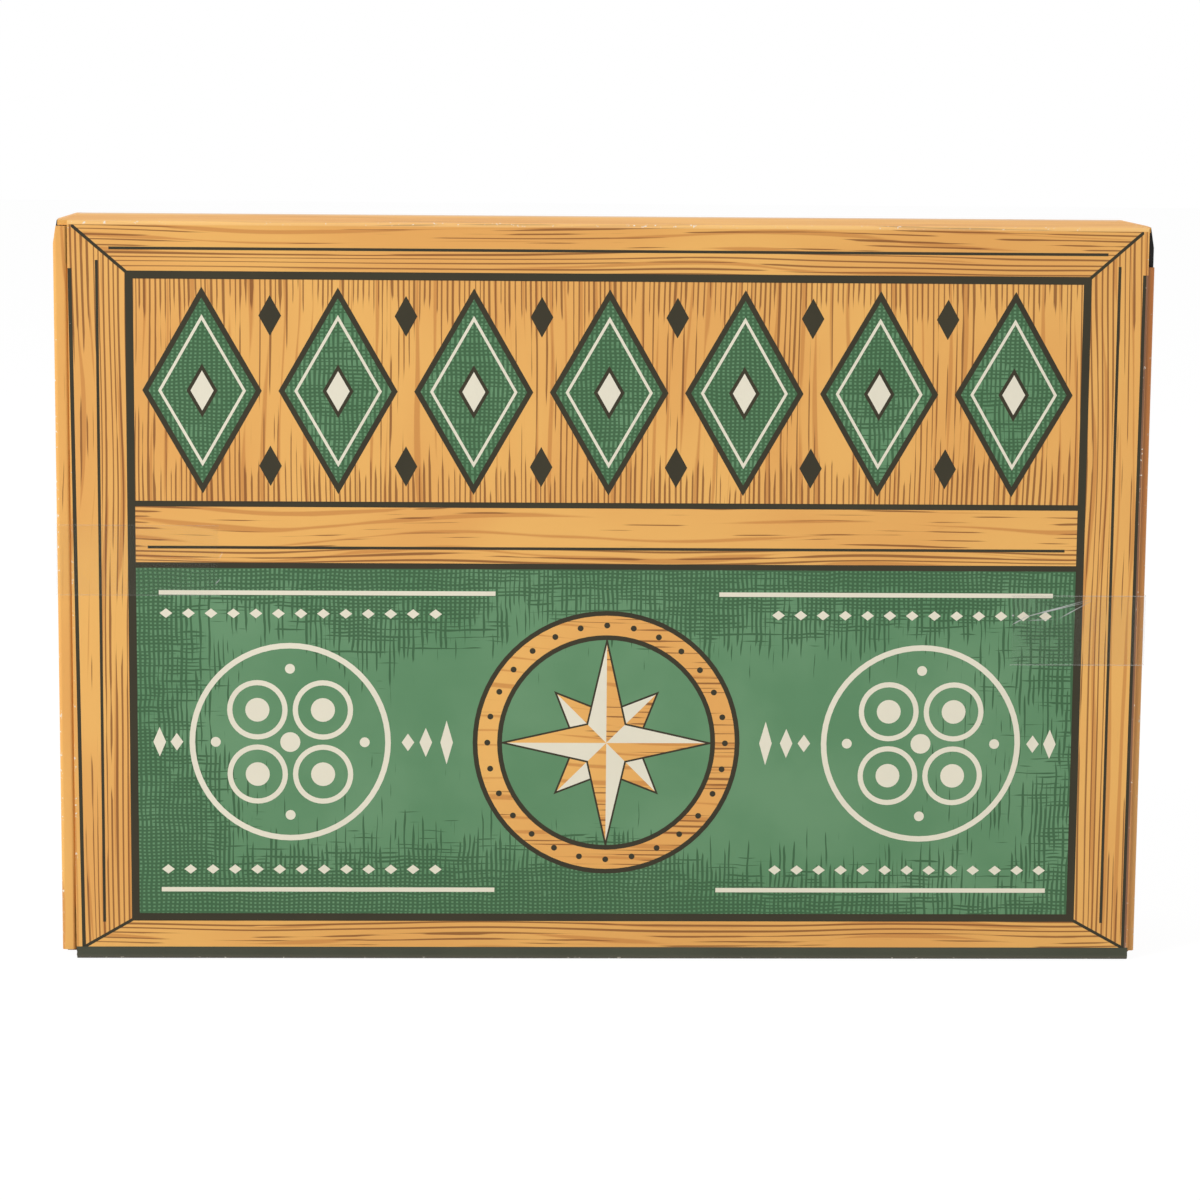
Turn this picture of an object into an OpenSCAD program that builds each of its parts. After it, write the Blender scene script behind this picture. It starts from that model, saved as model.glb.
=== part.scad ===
/* [Carton] */
// Overall width of the carton, side to side
carton_w = 292; // [288:0.5:300]
// Overall height of the carton as it stands
carton_h = 199; // [197:0.5:205]
// Overall depth of the carton, front face to back face
carton_d = 57; // [56.5:0.25:62]
// Thickness of the corrugated board
board = 1.3; // [1:0.05:1.4]
// Height of the side walls' lower ends above the surface the carton stands on
wall_foot = 2.2; // [2:0.1:4]
// Distance the front edge of the left side wall stops below the carton's top
left_relief = 1.5; // [1.5:0.5:16]
// The same distance on the right side wall
right_relief = 10.5; // [1.5:0.5:16]
// Width by which a side wall's upper front corner leans in
lean_w = 1; // [0.2:0.1:1.2]
// Height over which it leans in
lean_h = 6; // [2:0.5:12]
// Depth over which it leans in
lean_d = 12; // [4:1:20]
// Length of each hidden corner tab inside a double side wall
tab_reach = 62; // [20:1:85]

/* [Lid] */
// Width of the side wall that shows on each side of a lid in the middle
strip_w = 2.9; // [2.5:0.1:3.4]
// Distance the lid sits to the right of the carton's middle
lid_shift = 1; // [0:0.1:1.5]
// Radius of the soft fold at each creased edge of the lid
fold_r = 1; // [0.8:0.05:1.1]
// Depth of the dust flap at each side of the lid
dust_d = 42; // [20:1:47]
// Distance from the carton's top to the upper end of a dust flap
dust_head = 12; // [6:1:40]
// Distance from the carton's foot to the lower end of a dust flap
dust_foot = 14; // [12:1:40]
// Size of the cut corner at the free edge of a dust flap
dust_cut = 14; // [4:1:20]
// Depth of the outer flap that wraps under the carton
flap_d = 48; // [20:1:52]
// Radius of the outer flap's two free corners
flap_corner = 9; // [2:1:20]

/* [Tape] */
// Width of the clear tape
tape_w = 19; // [12:0.5:25]
// Thickness of the clear tape
tape_t = 0.1; // [0.05:0.01:0.2]
// Length of the left seal on the lid's face
left_tape_l = 43.5; // [20:0.5:60]
// Length of the right seal on the lid's face
right_tape_l = 36.5; // [20:0.5:60]
// Length of each seal that folds round onto the side wall
tape_side_l = 21; // [8:0.5:40]
// Height of the left seal's middle
left_tape_z = 109; // [40:1:160]
// Height of the right seal's middle
right_tape_z = 91; // [40:1:160]

/* [Game box] */
// Gap between the wooden game and a dust flap
side_play = 1.3; // [0.8:0.1:4]
// Gap between the wooden game and the hinge wall
head_play = 2.4; // [1.5:0.1:6]
// Height of the wooden game's rails above its underside
game_t = 32; // [28:0.5:34]
// Thickness of the rails
rail = 10; // [9:0.5:10.5]
// Thickness of the plywood base
base_t = 4; // [3:0.1:4.5]
// Width of the bar that the shut tiles lie on
bar_w = 12; // [8:0.5:16]
// Distance from the rod's axis to the near side of that bar
bar_reach = 20; // [16:0.5:22]
// Thickness of the felt
felt_t = 1; // [0.6:0.1:1.5]

/* [Tiles and rod] */
// Gap between neighbouring tiles
tile_gap = 1.2; // [0.6:0.1:3]
// Gap between the outer tiles and the side rails
row_play = 2.1; // [0.6:0.1:5]
// Thickness of one tile
tile_t = 8; // [6:0.1:8]
// Gap between a passing tile's tip and the shut lid
swing_play = 1; // [0.6:0.1:4]
// Length of a tile behind the rod's axis
tile_tail = 8; // [6:0.1:9]
// Radius of the rod
rod_r = 2; // [1.5:0.05:2.5]
// Depth that the rod's ends enter the side rails
rod_seat = 7; // [4:0.5:8]
// Height of the rod's axis above the game's underside
rod_h = 18; // [17:0.1:18]
// Distance from the rod's axis to the back rail
rod_back = 23.4; // [22.5:0.1:28]

/* [Dice, leaflet and brads] */
// Edge of a die
die = 16; // [12:0.5:18]
// Distance of each die from the middle at rest
die_x = 45; // [20:1:100]
// Width of the folded leaflet
leaf_w = 148; // [100:1:200]
// Height of the folded leaflet
leaf_l = 105; // [80:1:170]
// Thickness of the folded leaflet
leaf_t = 0.6; // [0.3:0.05:0.8]
// Radius of a brad
brad_r = 0.8; // [0.6:0.05:1.2]
// Length of a brad
brad_l = 22; // [16:0.5:30]

/* [Fits] */
// Gap between pieces that move past each other
clear = 0.3; // [0.2:0.05:0.35]
// Radial clearance of a tile's hole on the rod
rod_fit = 0.08; // [0.03:0.01:0.1]
// Radial clearance of the rod and the brads in the rails
seat_fit = 0.02; // [0.01:0.01:0.05]

/* [Hidden] */
$fn = 48;

// Each tile has a node of its own
tiles = 9;

// Carton planes, with Y from the front face to the back face
front_y = -carton_d / 2;
back_y = carton_d / 2;
lid_back = front_y + board;
back_face = back_y - board;
half_w = carton_w / 2;
// The side folds are round to the depth of the board
edge_r = min(fold_r, board - 0.1);
wall_in = half_w - 3 * board;
lid_w = carton_w - 2 * strip_w;
// The lid's two creases run along these axes
crease_y = front_y + fold_r;
hinge_z = carton_h - fold_r;
flap_z = fold_r;
// The boards behind a crease stop short of its fold
crease_end = crease_y + fold_r + clear / 3;
roll_y = lid_back + clear;
// The side walls' flat panels start behind their rolls
wall_front = roll_y + board;
lower_z = board + 0.4;
floor_z = lower_z + board;
roof_z = carton_h - board;

// The wooden game lies with its underside to the carton's back and its tiles uppermost
leaf_y = back_face - clear;
under_y = leaf_y - leaf_t - clear;
game_foot = floor_z + clear;
game_head = roof_z - head_play;
game_l = game_head - game_foot;
game_w = 2 * (wall_in - clear - board - side_play);
game_in = game_w / 2 - rail;
rod_y = under_y - rod_h;
rod_z = game_head - rail - rod_back;
pitch = (2 * game_in - 2 * row_play + tile_gap) / tiles;
tile_w = pitch - tile_gap;
// The tip's corner passes the lid at the end of this swing
swing_r = rod_y - lid_back - swing_play;
tile_l = sqrt(swing_r * swing_r - tile_t * tile_t / 4);
bar_top = rod_h - tile_t / 2 - clear;
bar_z = rod_z - bar_reach - bar_w;
felt_gap = 0.2;
well_foot = game_foot + rail;
tile_corner = 2;
wood_edge = 0.8;
// The end of the rod's bore lies this far past the rod
bore_end = 0.2;

// A block from its lowest corner to its highest corner
module block(low, high) {
    translate(low) cube(high - low);
}

// A block given in the game's own terms: across, along and above its underside
module in_game(x0, x1, z0, z1, h0, h1) {
    block([x0, under_y - h1, z0], [x1, under_y - h0, z1]);
}

// A round bar along X between two places
module bar_x(x0, x1, y, z, r) {
    translate([x0, y, z]) rotate([0, 90, 0]) cylinder(h = x1 - x0, r = r);
}

// The outline of a rectangle with round corners at its upper side only
module soft_top(w, h, r) {
    difference() {
        square([w, h]);
        difference() {
            translate([0, h - r]) square(r);
            translate([r, h - r]) circle(r);
        }
        difference() {
            translate([w - r, h - r]) square(r);
            translate([w - r, h - r]) circle(r);
        }
    }
}

// The back panel, soft at its folds to the side walls and to the hinge wall
module carton_back() {
    color("sandybrown") intersection() {
        translate([-half_w, back_face, 0]) linear_extrude(carton_h)
            soft_top(carton_w, board, edge_r);
        translate([-half_w, back_face, 0]) rotate([90, 0, 90]) linear_extrude(carton_w)
            difference() {
                square([board, carton_h]);
                difference() {
                    translate([board - edge_r, carton_h - edge_r]) square(edge_r);
                    translate([board - edge_r, carton_h - edge_r]) circle(edge_r);
                }
            }
    }
}

module hinge_wall() {
    color("sandybrown")
        block([-half_w + board, crease_end, roof_z], [half_w - board, back_face, carton_h]);
}

// The lower wall, its front edge held between the two rolled walls
module lower_wall() {
    color("sandybrown") union() {
        block([-half_w + board, wall_front, lower_z], [half_w - board, back_face, floor_z]);
        block([-wall_in, crease_end, lower_z], [wall_in, wall_front, floor_z]);
    }
}

// An outer side panel, its front upper corner cut back where the hinge wall folds
module outer_wall(side, relief) {
    x = side < 0 ? -half_w : half_w - board;
    color("peru") difference() {
        block([x, wall_front, wall_foot], [x + board, back_face, carton_h]);
        block([x - 1, roll_y, carton_h - relief], [x + board + 1, wall_front + board, carton_h + 1]);
        leaning_corner(side);
    }
}

// The small pyramid outside a side wall's upper front corner, where the corner leans in
module leaning_corner(side) {
    spare = 0.5;
    reach = 1 + 3 * spare;
    tip = [half_w + spare * lean_w, wall_front - spare * lean_d, carton_h + spare * lean_h];
    mirror([side < 0 ? 1 : 0, 0, 0]) polyhedron(
        [tip, tip - [reach * lean_w, 0, 0], tip + [0, reach * lean_d, 0], tip - [0, 0, reach * lean_h]],
        [[0, 1, 2], [0, 2, 3], [0, 3, 1], [1, 3, 2]]);
}

// The inner half of a double side wall
module inner_wall(side) {
    x = side < 0 ? -wall_in - board : wall_in;
    color("wheat")
        block([x, wall_front, floor_z], [x + board, back_face, roof_z]);
}

// The narrow strip where a side wall rolls over at the front
module wall_roll(side, relief) {
    x = side < 0 ? -half_w : wall_in;
    color("peru") difference() {
        translate([x, wall_front, wall_foot]) mirror([0, 1, 0])
            linear_extrude(carton_h - relief - wall_foot) soft_top(3 * board, board, edge_r);
        leaning_corner(side);
    }
}

// Tabs of the hinge wall and the lower wall, held inside the double side walls
module corner_tabs() {
    color("wheat") for (side = [-1, 1]) {
        x = side < 0 ? -half_w + board : half_w - 2 * board;
        block([x, wall_front + board, roof_z - tab_reach], [x + board, back_face, roof_z]);
        block([x, wall_front + board, floor_z], [x + board, back_face, floor_z + tab_reach]);
    }
}

// The lid panel with the round fold that it hangs from, soft at its side folds
module lid_panel() {
    x0 = lid_shift - lid_w / 2;
    x1 = lid_shift + lid_w / 2;
    color("seagreen") intersection() {
        union() {
            block([x0, front_y, 2 * fold_r + clear / 3], [x1, lid_back, hinge_z]);
            bar_x(x0, x1, crease_y, hinge_z, fold_r);
        }
        translate([x0, front_y + 2 * fold_r, 0]) mirror([0, 1, 0]) linear_extrude(carton_h)
            soft_top(lid_w, 2 * fold_r, edge_r);
    }
}

// A flap folded back from the lid's side edge, inside the double side wall
module dust_flap(side) {
    x = side < 0 ? -wall_in + clear : wall_in - clear - board;
    h = carton_h - dust_head - dust_foot;
    color("wheat") translate([x, lid_back, dust_foot]) rotate([90, 0, 90]) linear_extrude(board)
        polygon([[0, 0], [dust_d - dust_cut, 0], [dust_d, dust_cut], [dust_d, h - dust_cut],
            [dust_d - dust_cut, h], [0, h]]);
}

// A clear seal on the lid's face and round the corner beside the side wall
module tape_seal(side, face_l, z) {
    out = half_w + clear / 3;
    low = [out - face_l, front_y - tape_t, z - tape_w / 2];
    color("white", 0.4) mirror([side < 0 ? 1 : 0, 0, 0]) union() {
        block(low, [out + tape_t, front_y, z + tape_w / 2]);
        block([out, front_y - tape_t, low[2]], [out + tape_t, front_y + tape_side_l, z + tape_w / 2]);
    }
}

// The outer flap with the round fold that joins it to the lid
module front_flap() {
    x0 = lid_shift - lid_w / 2 + fold_r;
    x1 = lid_shift + lid_w / 2 - fold_r;
    color("darkslategray") union() {
        bar_x(x0, x1, crease_y, flap_z, fold_r);
        for (x = [x0, x1]) translate([x, crease_y, flap_z]) sphere(fold_r);
        translate([x0, crease_y, 0]) linear_extrude(board) soft_top(x1 - x0, flap_d, flap_corner);
    }
}

module base_board() {
    color("burlywood")
        in_game(-game_w / 2, game_w / 2, game_foot, game_head, 0, base_t);
}

// A rail with the softened upper edges of planed wood, along X
module rail_x(z0, z1) {
    color("burlywood") difference() {
        translate([-game_in, under_y - base_t, z0]) rotate([90, 0, 90]) linear_extrude(2 * game_in)
            rotate(90) soft_top(z1 - z0, game_t - base_t, wood_edge);
        brads(brad_r + seat_fit, seat_fit);
    }
}

module back_rail() {
    rail_x(game_head - rail, game_head);
}

module front_rail() {
    rail_x(game_foot, game_foot + rail);
}

// A side rail with the blind hole that seats the rod and the holes of the brads
module side_rail(side) {
    x = side < 0 ? -game_w / 2 : game_in;
    color("burlywood") difference() {
        translate([x, under_y - base_t, game_foot]) mirror([0, 1, 0])
            linear_extrude(game_l) soft_top(rail, game_t - base_t, wood_edge);
        bar_x(-game_in - rod_seat - bore_end, game_in + rod_seat + bore_end, rod_y, rod_z,
            rod_r + seat_fit);
        brads(brad_r + seat_fit, seat_fit);
    }
}

// The brads of the four corners, each along X through a side rail into a rail's end
module brads(r, spare) {
    for (side = [0, 1], z = [game_foot + rail / 2, game_head - rail / 2], h = [1 / 3, 3 / 4])
        mirror([side, 0, 0])
            bar_x(-game_w / 2 - (spare > 0 ? 1 : 0), -game_w / 2 + brad_l + spare,
                under_y - base_t - (game_t - base_t) * h, z, r);
}

module corner_brads() {
    color("silver") brads(brad_r, 0);
}

// The bar that shut tiles lie on, between the two felt wells
module divider_bar() {
    color("burlywood")
        in_game(-game_in, game_in, bar_z, bar_z + bar_w, base_t, bar_top);
}

module tile_felt() {
    color("darkgreen") in_game(-game_in + felt_gap, game_in - felt_gap,
        bar_z + bar_w + felt_gap, game_head - rail - felt_gap, base_t, base_t + felt_t);
}

module dice_felt() {
    color("darkgreen") in_game(-game_in + felt_gap, game_in - felt_gap,
        well_foot + felt_gap, bar_z - felt_gap, base_t, base_t + felt_t);
}

module tile_rod() {
    color("silver")
        bar_x(-game_in - rod_seat, game_in + rod_seat, rod_y, rod_z, rod_r);
}

// A tile hanging from the rod, with its two free corners rounded
module tile(n) {
    x = (n - (tiles + 1) / 2) * pitch - tile_w / 2;
    color("goldenrod") difference() {
        translate([x + tile_w, rod_y + tile_t / 2, rod_z + tile_tail]) rotate([90, 180, 0])
            linear_extrude(tile_t) soft_top(tile_w, tile_l + tile_tail, tile_corner);
        bar_x(x - 1, x + tile_w + 1, rod_y, rod_z, rod_r + rod_fit);
    }
}

// A die whose corners are rounded off by a ball
module one_die(side) {
    color("ivory") translate([side * die_x, under_y - base_t - felt_t - clear - die / 2,
        well_foot + clear + die / 2]) intersection() {
            cube(die, center = true);
            sphere(die * 0.72, $fn = 64);
        }
}

// The folded sheet of instructions behind the game
module leaflet() {
    color("white")
        block([-leaf_w / 2, leaf_y - leaf_t, game_foot], [leaf_w / 2, leaf_y, game_foot + leaf_l]);
}

carton_back();
hinge_wall();
lower_wall();
outer_wall(-1, left_relief);  // left_outer_wall
outer_wall(1, right_relief);  // right_outer_wall
inner_wall(-1);  // left_inner_wall
inner_wall(1);  // right_inner_wall
wall_roll(-1, left_relief);  // left_wall_roll
wall_roll(1, right_relief);  // right_wall_roll
corner_tabs();
lid_panel();
dust_flap(-1);  // left_dust_flap
dust_flap(1);  // right_dust_flap
tape_seal(-1, left_tape_l, left_tape_z);  // left_tape_seal
tape_seal(1, right_tape_l, right_tape_z);  // right_tape_seal
front_flap();
base_board();
back_rail();
front_rail();
side_rail(-1);  // left_rail
side_rail(1);  // right_rail
divider_bar();
tile_felt();
dice_felt();
tile_rod();
corner_brads();
tile(1);  // tile_1
tile(2);  // tile_2
tile(3);  // tile_3
tile(4);  // tile_4
tile(5);  // tile_5
tile(6);  // tile_6
tile(7);  // tile_7
tile(8);  // tile_8
tile(9);  // tile_9
one_die(-1);  // left_die
one_die(1);  // right_die
leaflet();
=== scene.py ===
import math
import bmesh
import bpy
from mathutils import Matrix, Vector


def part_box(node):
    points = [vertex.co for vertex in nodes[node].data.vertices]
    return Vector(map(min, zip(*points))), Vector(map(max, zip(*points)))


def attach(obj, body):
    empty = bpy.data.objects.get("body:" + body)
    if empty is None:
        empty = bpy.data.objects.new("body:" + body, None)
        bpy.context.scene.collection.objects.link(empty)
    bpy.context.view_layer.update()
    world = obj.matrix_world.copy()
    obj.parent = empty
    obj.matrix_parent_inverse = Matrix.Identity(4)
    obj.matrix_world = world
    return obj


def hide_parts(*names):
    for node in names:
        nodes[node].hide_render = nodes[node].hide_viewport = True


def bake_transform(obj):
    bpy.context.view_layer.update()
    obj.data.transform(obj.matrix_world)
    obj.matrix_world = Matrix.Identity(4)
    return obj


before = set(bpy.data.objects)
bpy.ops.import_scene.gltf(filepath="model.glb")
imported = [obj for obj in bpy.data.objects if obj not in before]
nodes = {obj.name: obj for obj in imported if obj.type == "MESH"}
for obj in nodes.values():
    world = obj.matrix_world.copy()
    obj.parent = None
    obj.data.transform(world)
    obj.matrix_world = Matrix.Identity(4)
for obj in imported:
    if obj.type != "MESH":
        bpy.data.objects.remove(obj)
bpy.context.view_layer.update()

mm = 0.001


def span(node):
    # a node's lowest and highest corners, in millimetres
    low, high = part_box(node)
    return low / mm, high / mm


lidLow, lidHigh = span("lid_panel")
backLow, backHigh = span("carton_back")
wallLow, wallHigh = span("left_outer_wall")
cartonHeight = backHigh.z
cartonHalf = backHigh.x
frontY = lidLow.y
backY = backHigh.y
print("frame loaded:", len(nodes), "nodes")


# camera

cameraLook = {
    "lens": 105.0,             # on a 36 mm sensor
    "distance": 938.0,         # from the point it looks at, in millimetres
    "elevation": 8.4,
    "yaw": -1.69,
    "roll": 0.48,
    "aim": (-1.0, 98.8),       # where its axis meets the lid's face, across and up
}


def makeCamera(look):
    elevation, yaw, roll = (math.radians(look[k]) for k in ("elevation", "yaw", "roll"))
    turn = Matrix.Rotation(yaw, 3, "Z")
    right = Vector((1, 0, 0))
    up = Vector((0, math.sin(elevation), math.cos(elevation)))
    back = Vector((0, -math.cos(elevation), math.sin(elevation)))
    aim = Vector((look["aim"][0], frontY, look["aim"][1])) * mm
    rolledRight = right * math.cos(roll) + up * math.sin(roll)
    rolledUp = up * math.cos(roll) - right * math.sin(roll)
    axes = Matrix([turn @ rolledRight, turn @ rolledUp, turn @ back]).transposed()
    camera = bpy.data.cameras.new("camera")
    camera.lens = look["lens"]
    camera.sensor_width = 36.0
    camera.clip_start = 0.05
    camera.clip_end = 50.0
    holder = bpy.data.objects.new("camera", camera)
    bpy.context.scene.collection.objects.link(holder)
    holder.matrix_world = Matrix.Translation(aim + turn @ back * look["distance"] * mm) @ axes.to_4x4()
    bpy.context.scene.camera = holder


makeCamera(cameraLook)


# node helpers

def put(tree, kind, inputs=None, **settings):
    made = tree.nodes.new(kind)
    for key, value in settings.items():
        setattr(made, key, value)
    for key, value in (inputs or {}).items():
        if isinstance(value, bpy.types.NodeSocket):
            tree.links.new(value, made.inputs[key])
        else:
            made.inputs[key].default_value = value
    return made


def calc(tree, operation, first, second=0.0, third=0.0):
    return put(tree, "ShaderNodeMath", {0: first, 1: second, 2: third}, operation=operation).outputs[0]


def tint(tree, factor, first, second):
    return put(tree, "ShaderNodeMix", {0: factor, 6: first, 7: second}, data_type="RGBA").outputs[2]


def step(tree, value, low, high):
    # 0 below low, 1 above high; turned round where low is the larger
    made = put(tree, "ShaderNodeMapRange", {0: value, 1: min(low, high), 2: max(low, high)},
               interpolation_type="SMOOTHSTEP")
    if low > high:
        made.inputs[3].default_value = 1.0
        made.inputs[4].default_value = 0.0
    return made.outputs[0]


def either(tree, *masks):
    result = masks[0]
    for mask in masks[1:]:
        result = calc(tree, "MAXIMUM", result, mask)
    return result


def both(tree, first, second):
    return calc(tree, "MULTIPLY", first, second)


def objectPoint(tree):
    return put(tree, "ShaderNodeTexCoord").outputs["Object"]


def stretched(tree, point, perMm, shift=(0, 0, 0)):
    # the point in millimetres, scaled along each axis
    scale = [1000 * k for k in perMm]
    return put(tree, "ShaderNodeMapping", {"Vector": point, "Location": shift, "Scale": scale}).outputs[0]


def noise(tree, vector, detail=2.0, roughness=0.5, distortion=0.0):
    return put(tree, "ShaderNodeTexNoise", {"Vector": vector, "Scale": 1.0, "Detail": detail,
               "Roughness": roughness, "Distortion": distortion}).outputs[0]


def parts(tree, point):
    scaled = put(tree, "ShaderNodeVectorMath", {0: point, 3: 1000.0}, operation="SCALE").outputs[0]
    return put(tree, "ShaderNodeSeparateXYZ", {0: scaled}).outputs


def linear(red, green, blue):
    # a colour as it is seen on a screen, 0 to 255, for a shader
    def one(v):
        v /= 255
        return v / 12.92 if v <= 0.04045 else ((v + 0.055) / 1.055) ** 2.4
    return (one(red), one(green), one(blue), 1.0)


def dimmed(colour, share):
    return tuple(c * share for c in colour[:3]) + (1.0,)


def blank(name):
    material = bpy.data.materials.new(name)
    material.use_nodes = True
    material.node_tree.nodes.clear()
    return material, material.node_tree


def surface(tree, colour, inputs, height=None, bump=0.1, reach=0.0002):
    shader = put(tree, "ShaderNodeBsdfPrincipled", {"Base Color": colour, **inputs})
    if height is not None:
        bumped = put(tree, "ShaderNodeBump", {"Strength": bump, "Distance": reach, "Height": height})
        tree.links.new(bumped.outputs[0], shader.inputs["Normal"])
    put(tree, "ShaderNodeOutputMaterial", {"Surface": shader.outputs[0]})
    return shader


def along(axis, across, lengthwise):
    # one scale lengthwise on an axis and another on the other two
    return [lengthwise if i == axis else across for i in range(3)]


# printed inks, and colours of painted shade, shadow, highlight and reflection

ink = {
    "wood": linear(240, 182, 100),
    "woodWarm": linear(233, 170, 92),
    "grain": linear(205, 138, 70),
    "stroke": linear(130, 78, 36),
    "green": linear(92, 138, 98),
    "greenLight": linear(105, 148, 109),
    "thread": linear(47, 85, 51),
    "dark": linear(53, 48, 30),
    "band": linear(70, 73, 58),
    # painted reflection of the floor on the band's lower fold
    "bandReflection": linear(104, 98, 84),
    "cream": linear(236, 229, 208),
    "paper": linear(236, 226, 210),
    "liner": linear(214, 196, 166),
    "linerPatch": linear(193, 172, 140),
    "core": linear(158, 126, 90),
    "fluteHollowShade": linear(52, 38, 26),
    "shade": linear(24, 20, 16),
    # painted shade of the right roll, high and low, and of its sliver behind the lid
    "rollShadeHigh": linear(232, 140, 78),
    "rollShadeLow": linear(255, 188, 112),
    "rollShade": linear(176, 122, 92),
    # painted shadow along the lid's right edge
    "shadeSliver": linear(142, 101, 74),
    # painted shade on the lid's right rim, as on the shaded right roll
    "edge": linear(206, 144, 86),
    # painted highlight on the hinge crease
    "foldHighlight": linear(252, 214, 150),
}

grainLook = {
    "line": 3.9,               # spacing of the long grain lines, in millimetres
    "sway": 17.0,              # how far they wander
    "stroke": 1.4,             # spacing of the fine dark strokes
    "jitter": 1.9,             # how unevenly the strokes lie
    "endReach": 36.0,          # how far the strokes grow denser from a plank's ends
}

weaveLook = {
    "columns": 1.24,           # spacing of the upright threads, in millimetres
    "rows": 1.02,              # spacing of the level threads
    "wobble": 1.3,
}


def strokes(tree, across, spacing, halfWidth, soft=0.1):
    # lines side by side; halfWidth is a number or a mask in millimetres, and none shows below 0
    cell = calc(tree, "FRACT", calc(tree, "DIVIDE", across, spacing))
    offLine = calc(tree, "MULTIPLY", calc(tree, "ABSOLUTE", calc(tree, "SUBTRACT", cell, 0.5)), spacing)
    return step(tree, calc(tree, "SUBTRACT", offLine, halfWidth), soft, -soft)


def woodInk(tree, point, axis, seed=0.0, dense=0.0, ends=None):
    # drawn wood: long wandering lines and fine dark strokes, many where dense and at a plank's two ends
    place = parts(tree, point)
    others = [i for i in range(3) if i != axis]
    across = calc(tree, "ADD", place[others[0]], place[others[1]])
    shift = (seed * 3.1, seed * 1.7, seed * 2.3)
    sway = noise(tree, stretched(tree, point, along(axis, 0.028, 0.0095), shift), 1.0)
    swayed = calc(tree, "MULTIPLY_ADD", sway, grainLook["sway"], across)
    breaks = noise(tree, stretched(tree, point, along(axis, 0.24, 0.017), shift), 1.5)
    lineWidth = calc(tree, "MINIMUM", calc(tree, "MULTIPLY_ADD", breaks, 3.6, -1.62), 0.7)
    lines = strokes(tree, swayed, grainLook["line"], lineWidth, 0.2)
    uneven = noise(tree, stretched(tree, point, along(axis, 0.34, 0.006), (seed, 3, seed)), 1.0)
    fineSway = calc(tree, "MULTIPLY_ADD", sway, grainLook["sway"] * 0.35, across)
    fineSway = calc(tree, "MULTIPLY_ADD", uneven, grainLook["jitter"], fineSway)
    fineBreaks = noise(tree, stretched(tree, point, along(axis, 0.75, 0.036), shift), 1.5)
    patch = noise(tree, stretched(tree, point, along(axis, 0.03, 0.015), shift), 2.0)
    room = calc(tree, "MULTIPLY_ADD", patch, 1.6, -2.42 + 0.95 * dense)
    if ends:
        low, high, reach = ends
        near = either(tree, step(tree, place[axis], low + reach, low), step(tree, place[axis], high - reach, high))
        room = calc(tree, "MULTIPLY_ADD", near, 0.8, room)
    thickest = calc(tree, "MULTIPLY", uneven, 0.46)
    fineWidth = calc(tree, "MINIMUM", calc(tree, "MULTIPLY_ADD", fineBreaks, 2.5, room), thickest)
    fine = strokes(tree, fineSway, grainLook["stroke"], fineWidth, 0.1)
    base = tint(tree, step(tree, patch, 0.35, 0.65), ink["wood"], ink["woodWarm"])
    toned = tint(tree, calc(tree, "MULTIPLY", lines, 0.76), base, ink["grain"])
    return tint(tree, calc(tree, "MULTIPLY", fine, 0.84), toned, ink["stroke"])


def threads(tree, across, spacing, point, axis, density, seed):
    # strokes that are whole where the density is high and break up where it falls
    wobble = noise(tree, stretched(tree, point, (0.12, 0.12, 0.12), (seed, 0, 0)), 1.0)
    shifted = calc(tree, "MULTIPLY_ADD", wobble, weaveLook["wobble"], across)
    breaks = noise(tree, stretched(tree, point, along(axis, 0.8, 0.085), (seed, seed, seed)), 1.0)
    room = calc(tree, "MULTIPLY", calc(tree, "SUBTRACT", density, breaks), 2.6)
    return strokes(tree, shifted, spacing, calc(tree, "MINIMUM", room, spacing * 0.27), 0.09)


def weaveInk(tree, point, axes, middle, half, seed=3.0):
    # cloth drawn as hatching, closed at the edges of its field and open in the middle
    place = parts(tree, point)
    first, second = (place[a] for a in axes)
    falls = [step(tree, calc(tree, "ABSOLUTE", calc(tree, "SUBTRACT", p, m)), h - reach, h)
             for p, m, h, reach in zip((first, second), middle, half, (half[0] * 0.42, half[1] * 0.75))]
    cloud = noise(tree, stretched(tree, point, (0.02, 0.02, 0.02), (seed, 0, 0)), 2.0)
    density = calc(tree, "MULTIPLY_ADD", cloud, 0.9, calc(tree, "MULTIPLY", either(tree, *falls), 0.5))
    upright = threads(tree, first, weaveLook["columns"], point, axes[1],
                      calc(tree, "ADD", density, -0.17), seed)
    level = threads(tree, second, weaveLook["rows"], point, axes[0],
                    calc(tree, "ADD", density, -0.27), seed + 5)
    shade = noise(tree, stretched(tree, point, (0.035, 0.035, 0.035), (seed, 2, 0)), 3.0)
    base = tint(tree, step(tree, shade, 0.3, 0.7), ink["green"], ink["greenLight"])
    return tint(tree, calc(tree, "MULTIPLY", either(tree, upright, level), 0.8), base, ink["thread"])


def wearMask(tree, point, folds):
    # pale specks where ink has cracked along a fold; a fold is (axis, place, reach) in millimetres
    place = parts(tree, point)
    near = [step(tree, calc(tree, "ABSOLUTE", calc(tree, "SUBTRACT", place[axis], at)), reach, reach * 0.5)
            for axis, at, reach in folds]
    speck = noise(tree, stretched(tree, point, (0.8, 0.8, 0.8)), 4.0, 0.65)
    patch = noise(tree, stretched(tree, point, (0.06, 0.06, 0.06), (4, 0, 0)), 2.0)
    limit = calc(tree, "MULTIPLY_ADD", patch, -0.20, 0.73)
    return both(tree, either(tree, *near), step(tree, calc(tree, "SUBTRACT", speck, limit), 0.0, 0.04))


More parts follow.
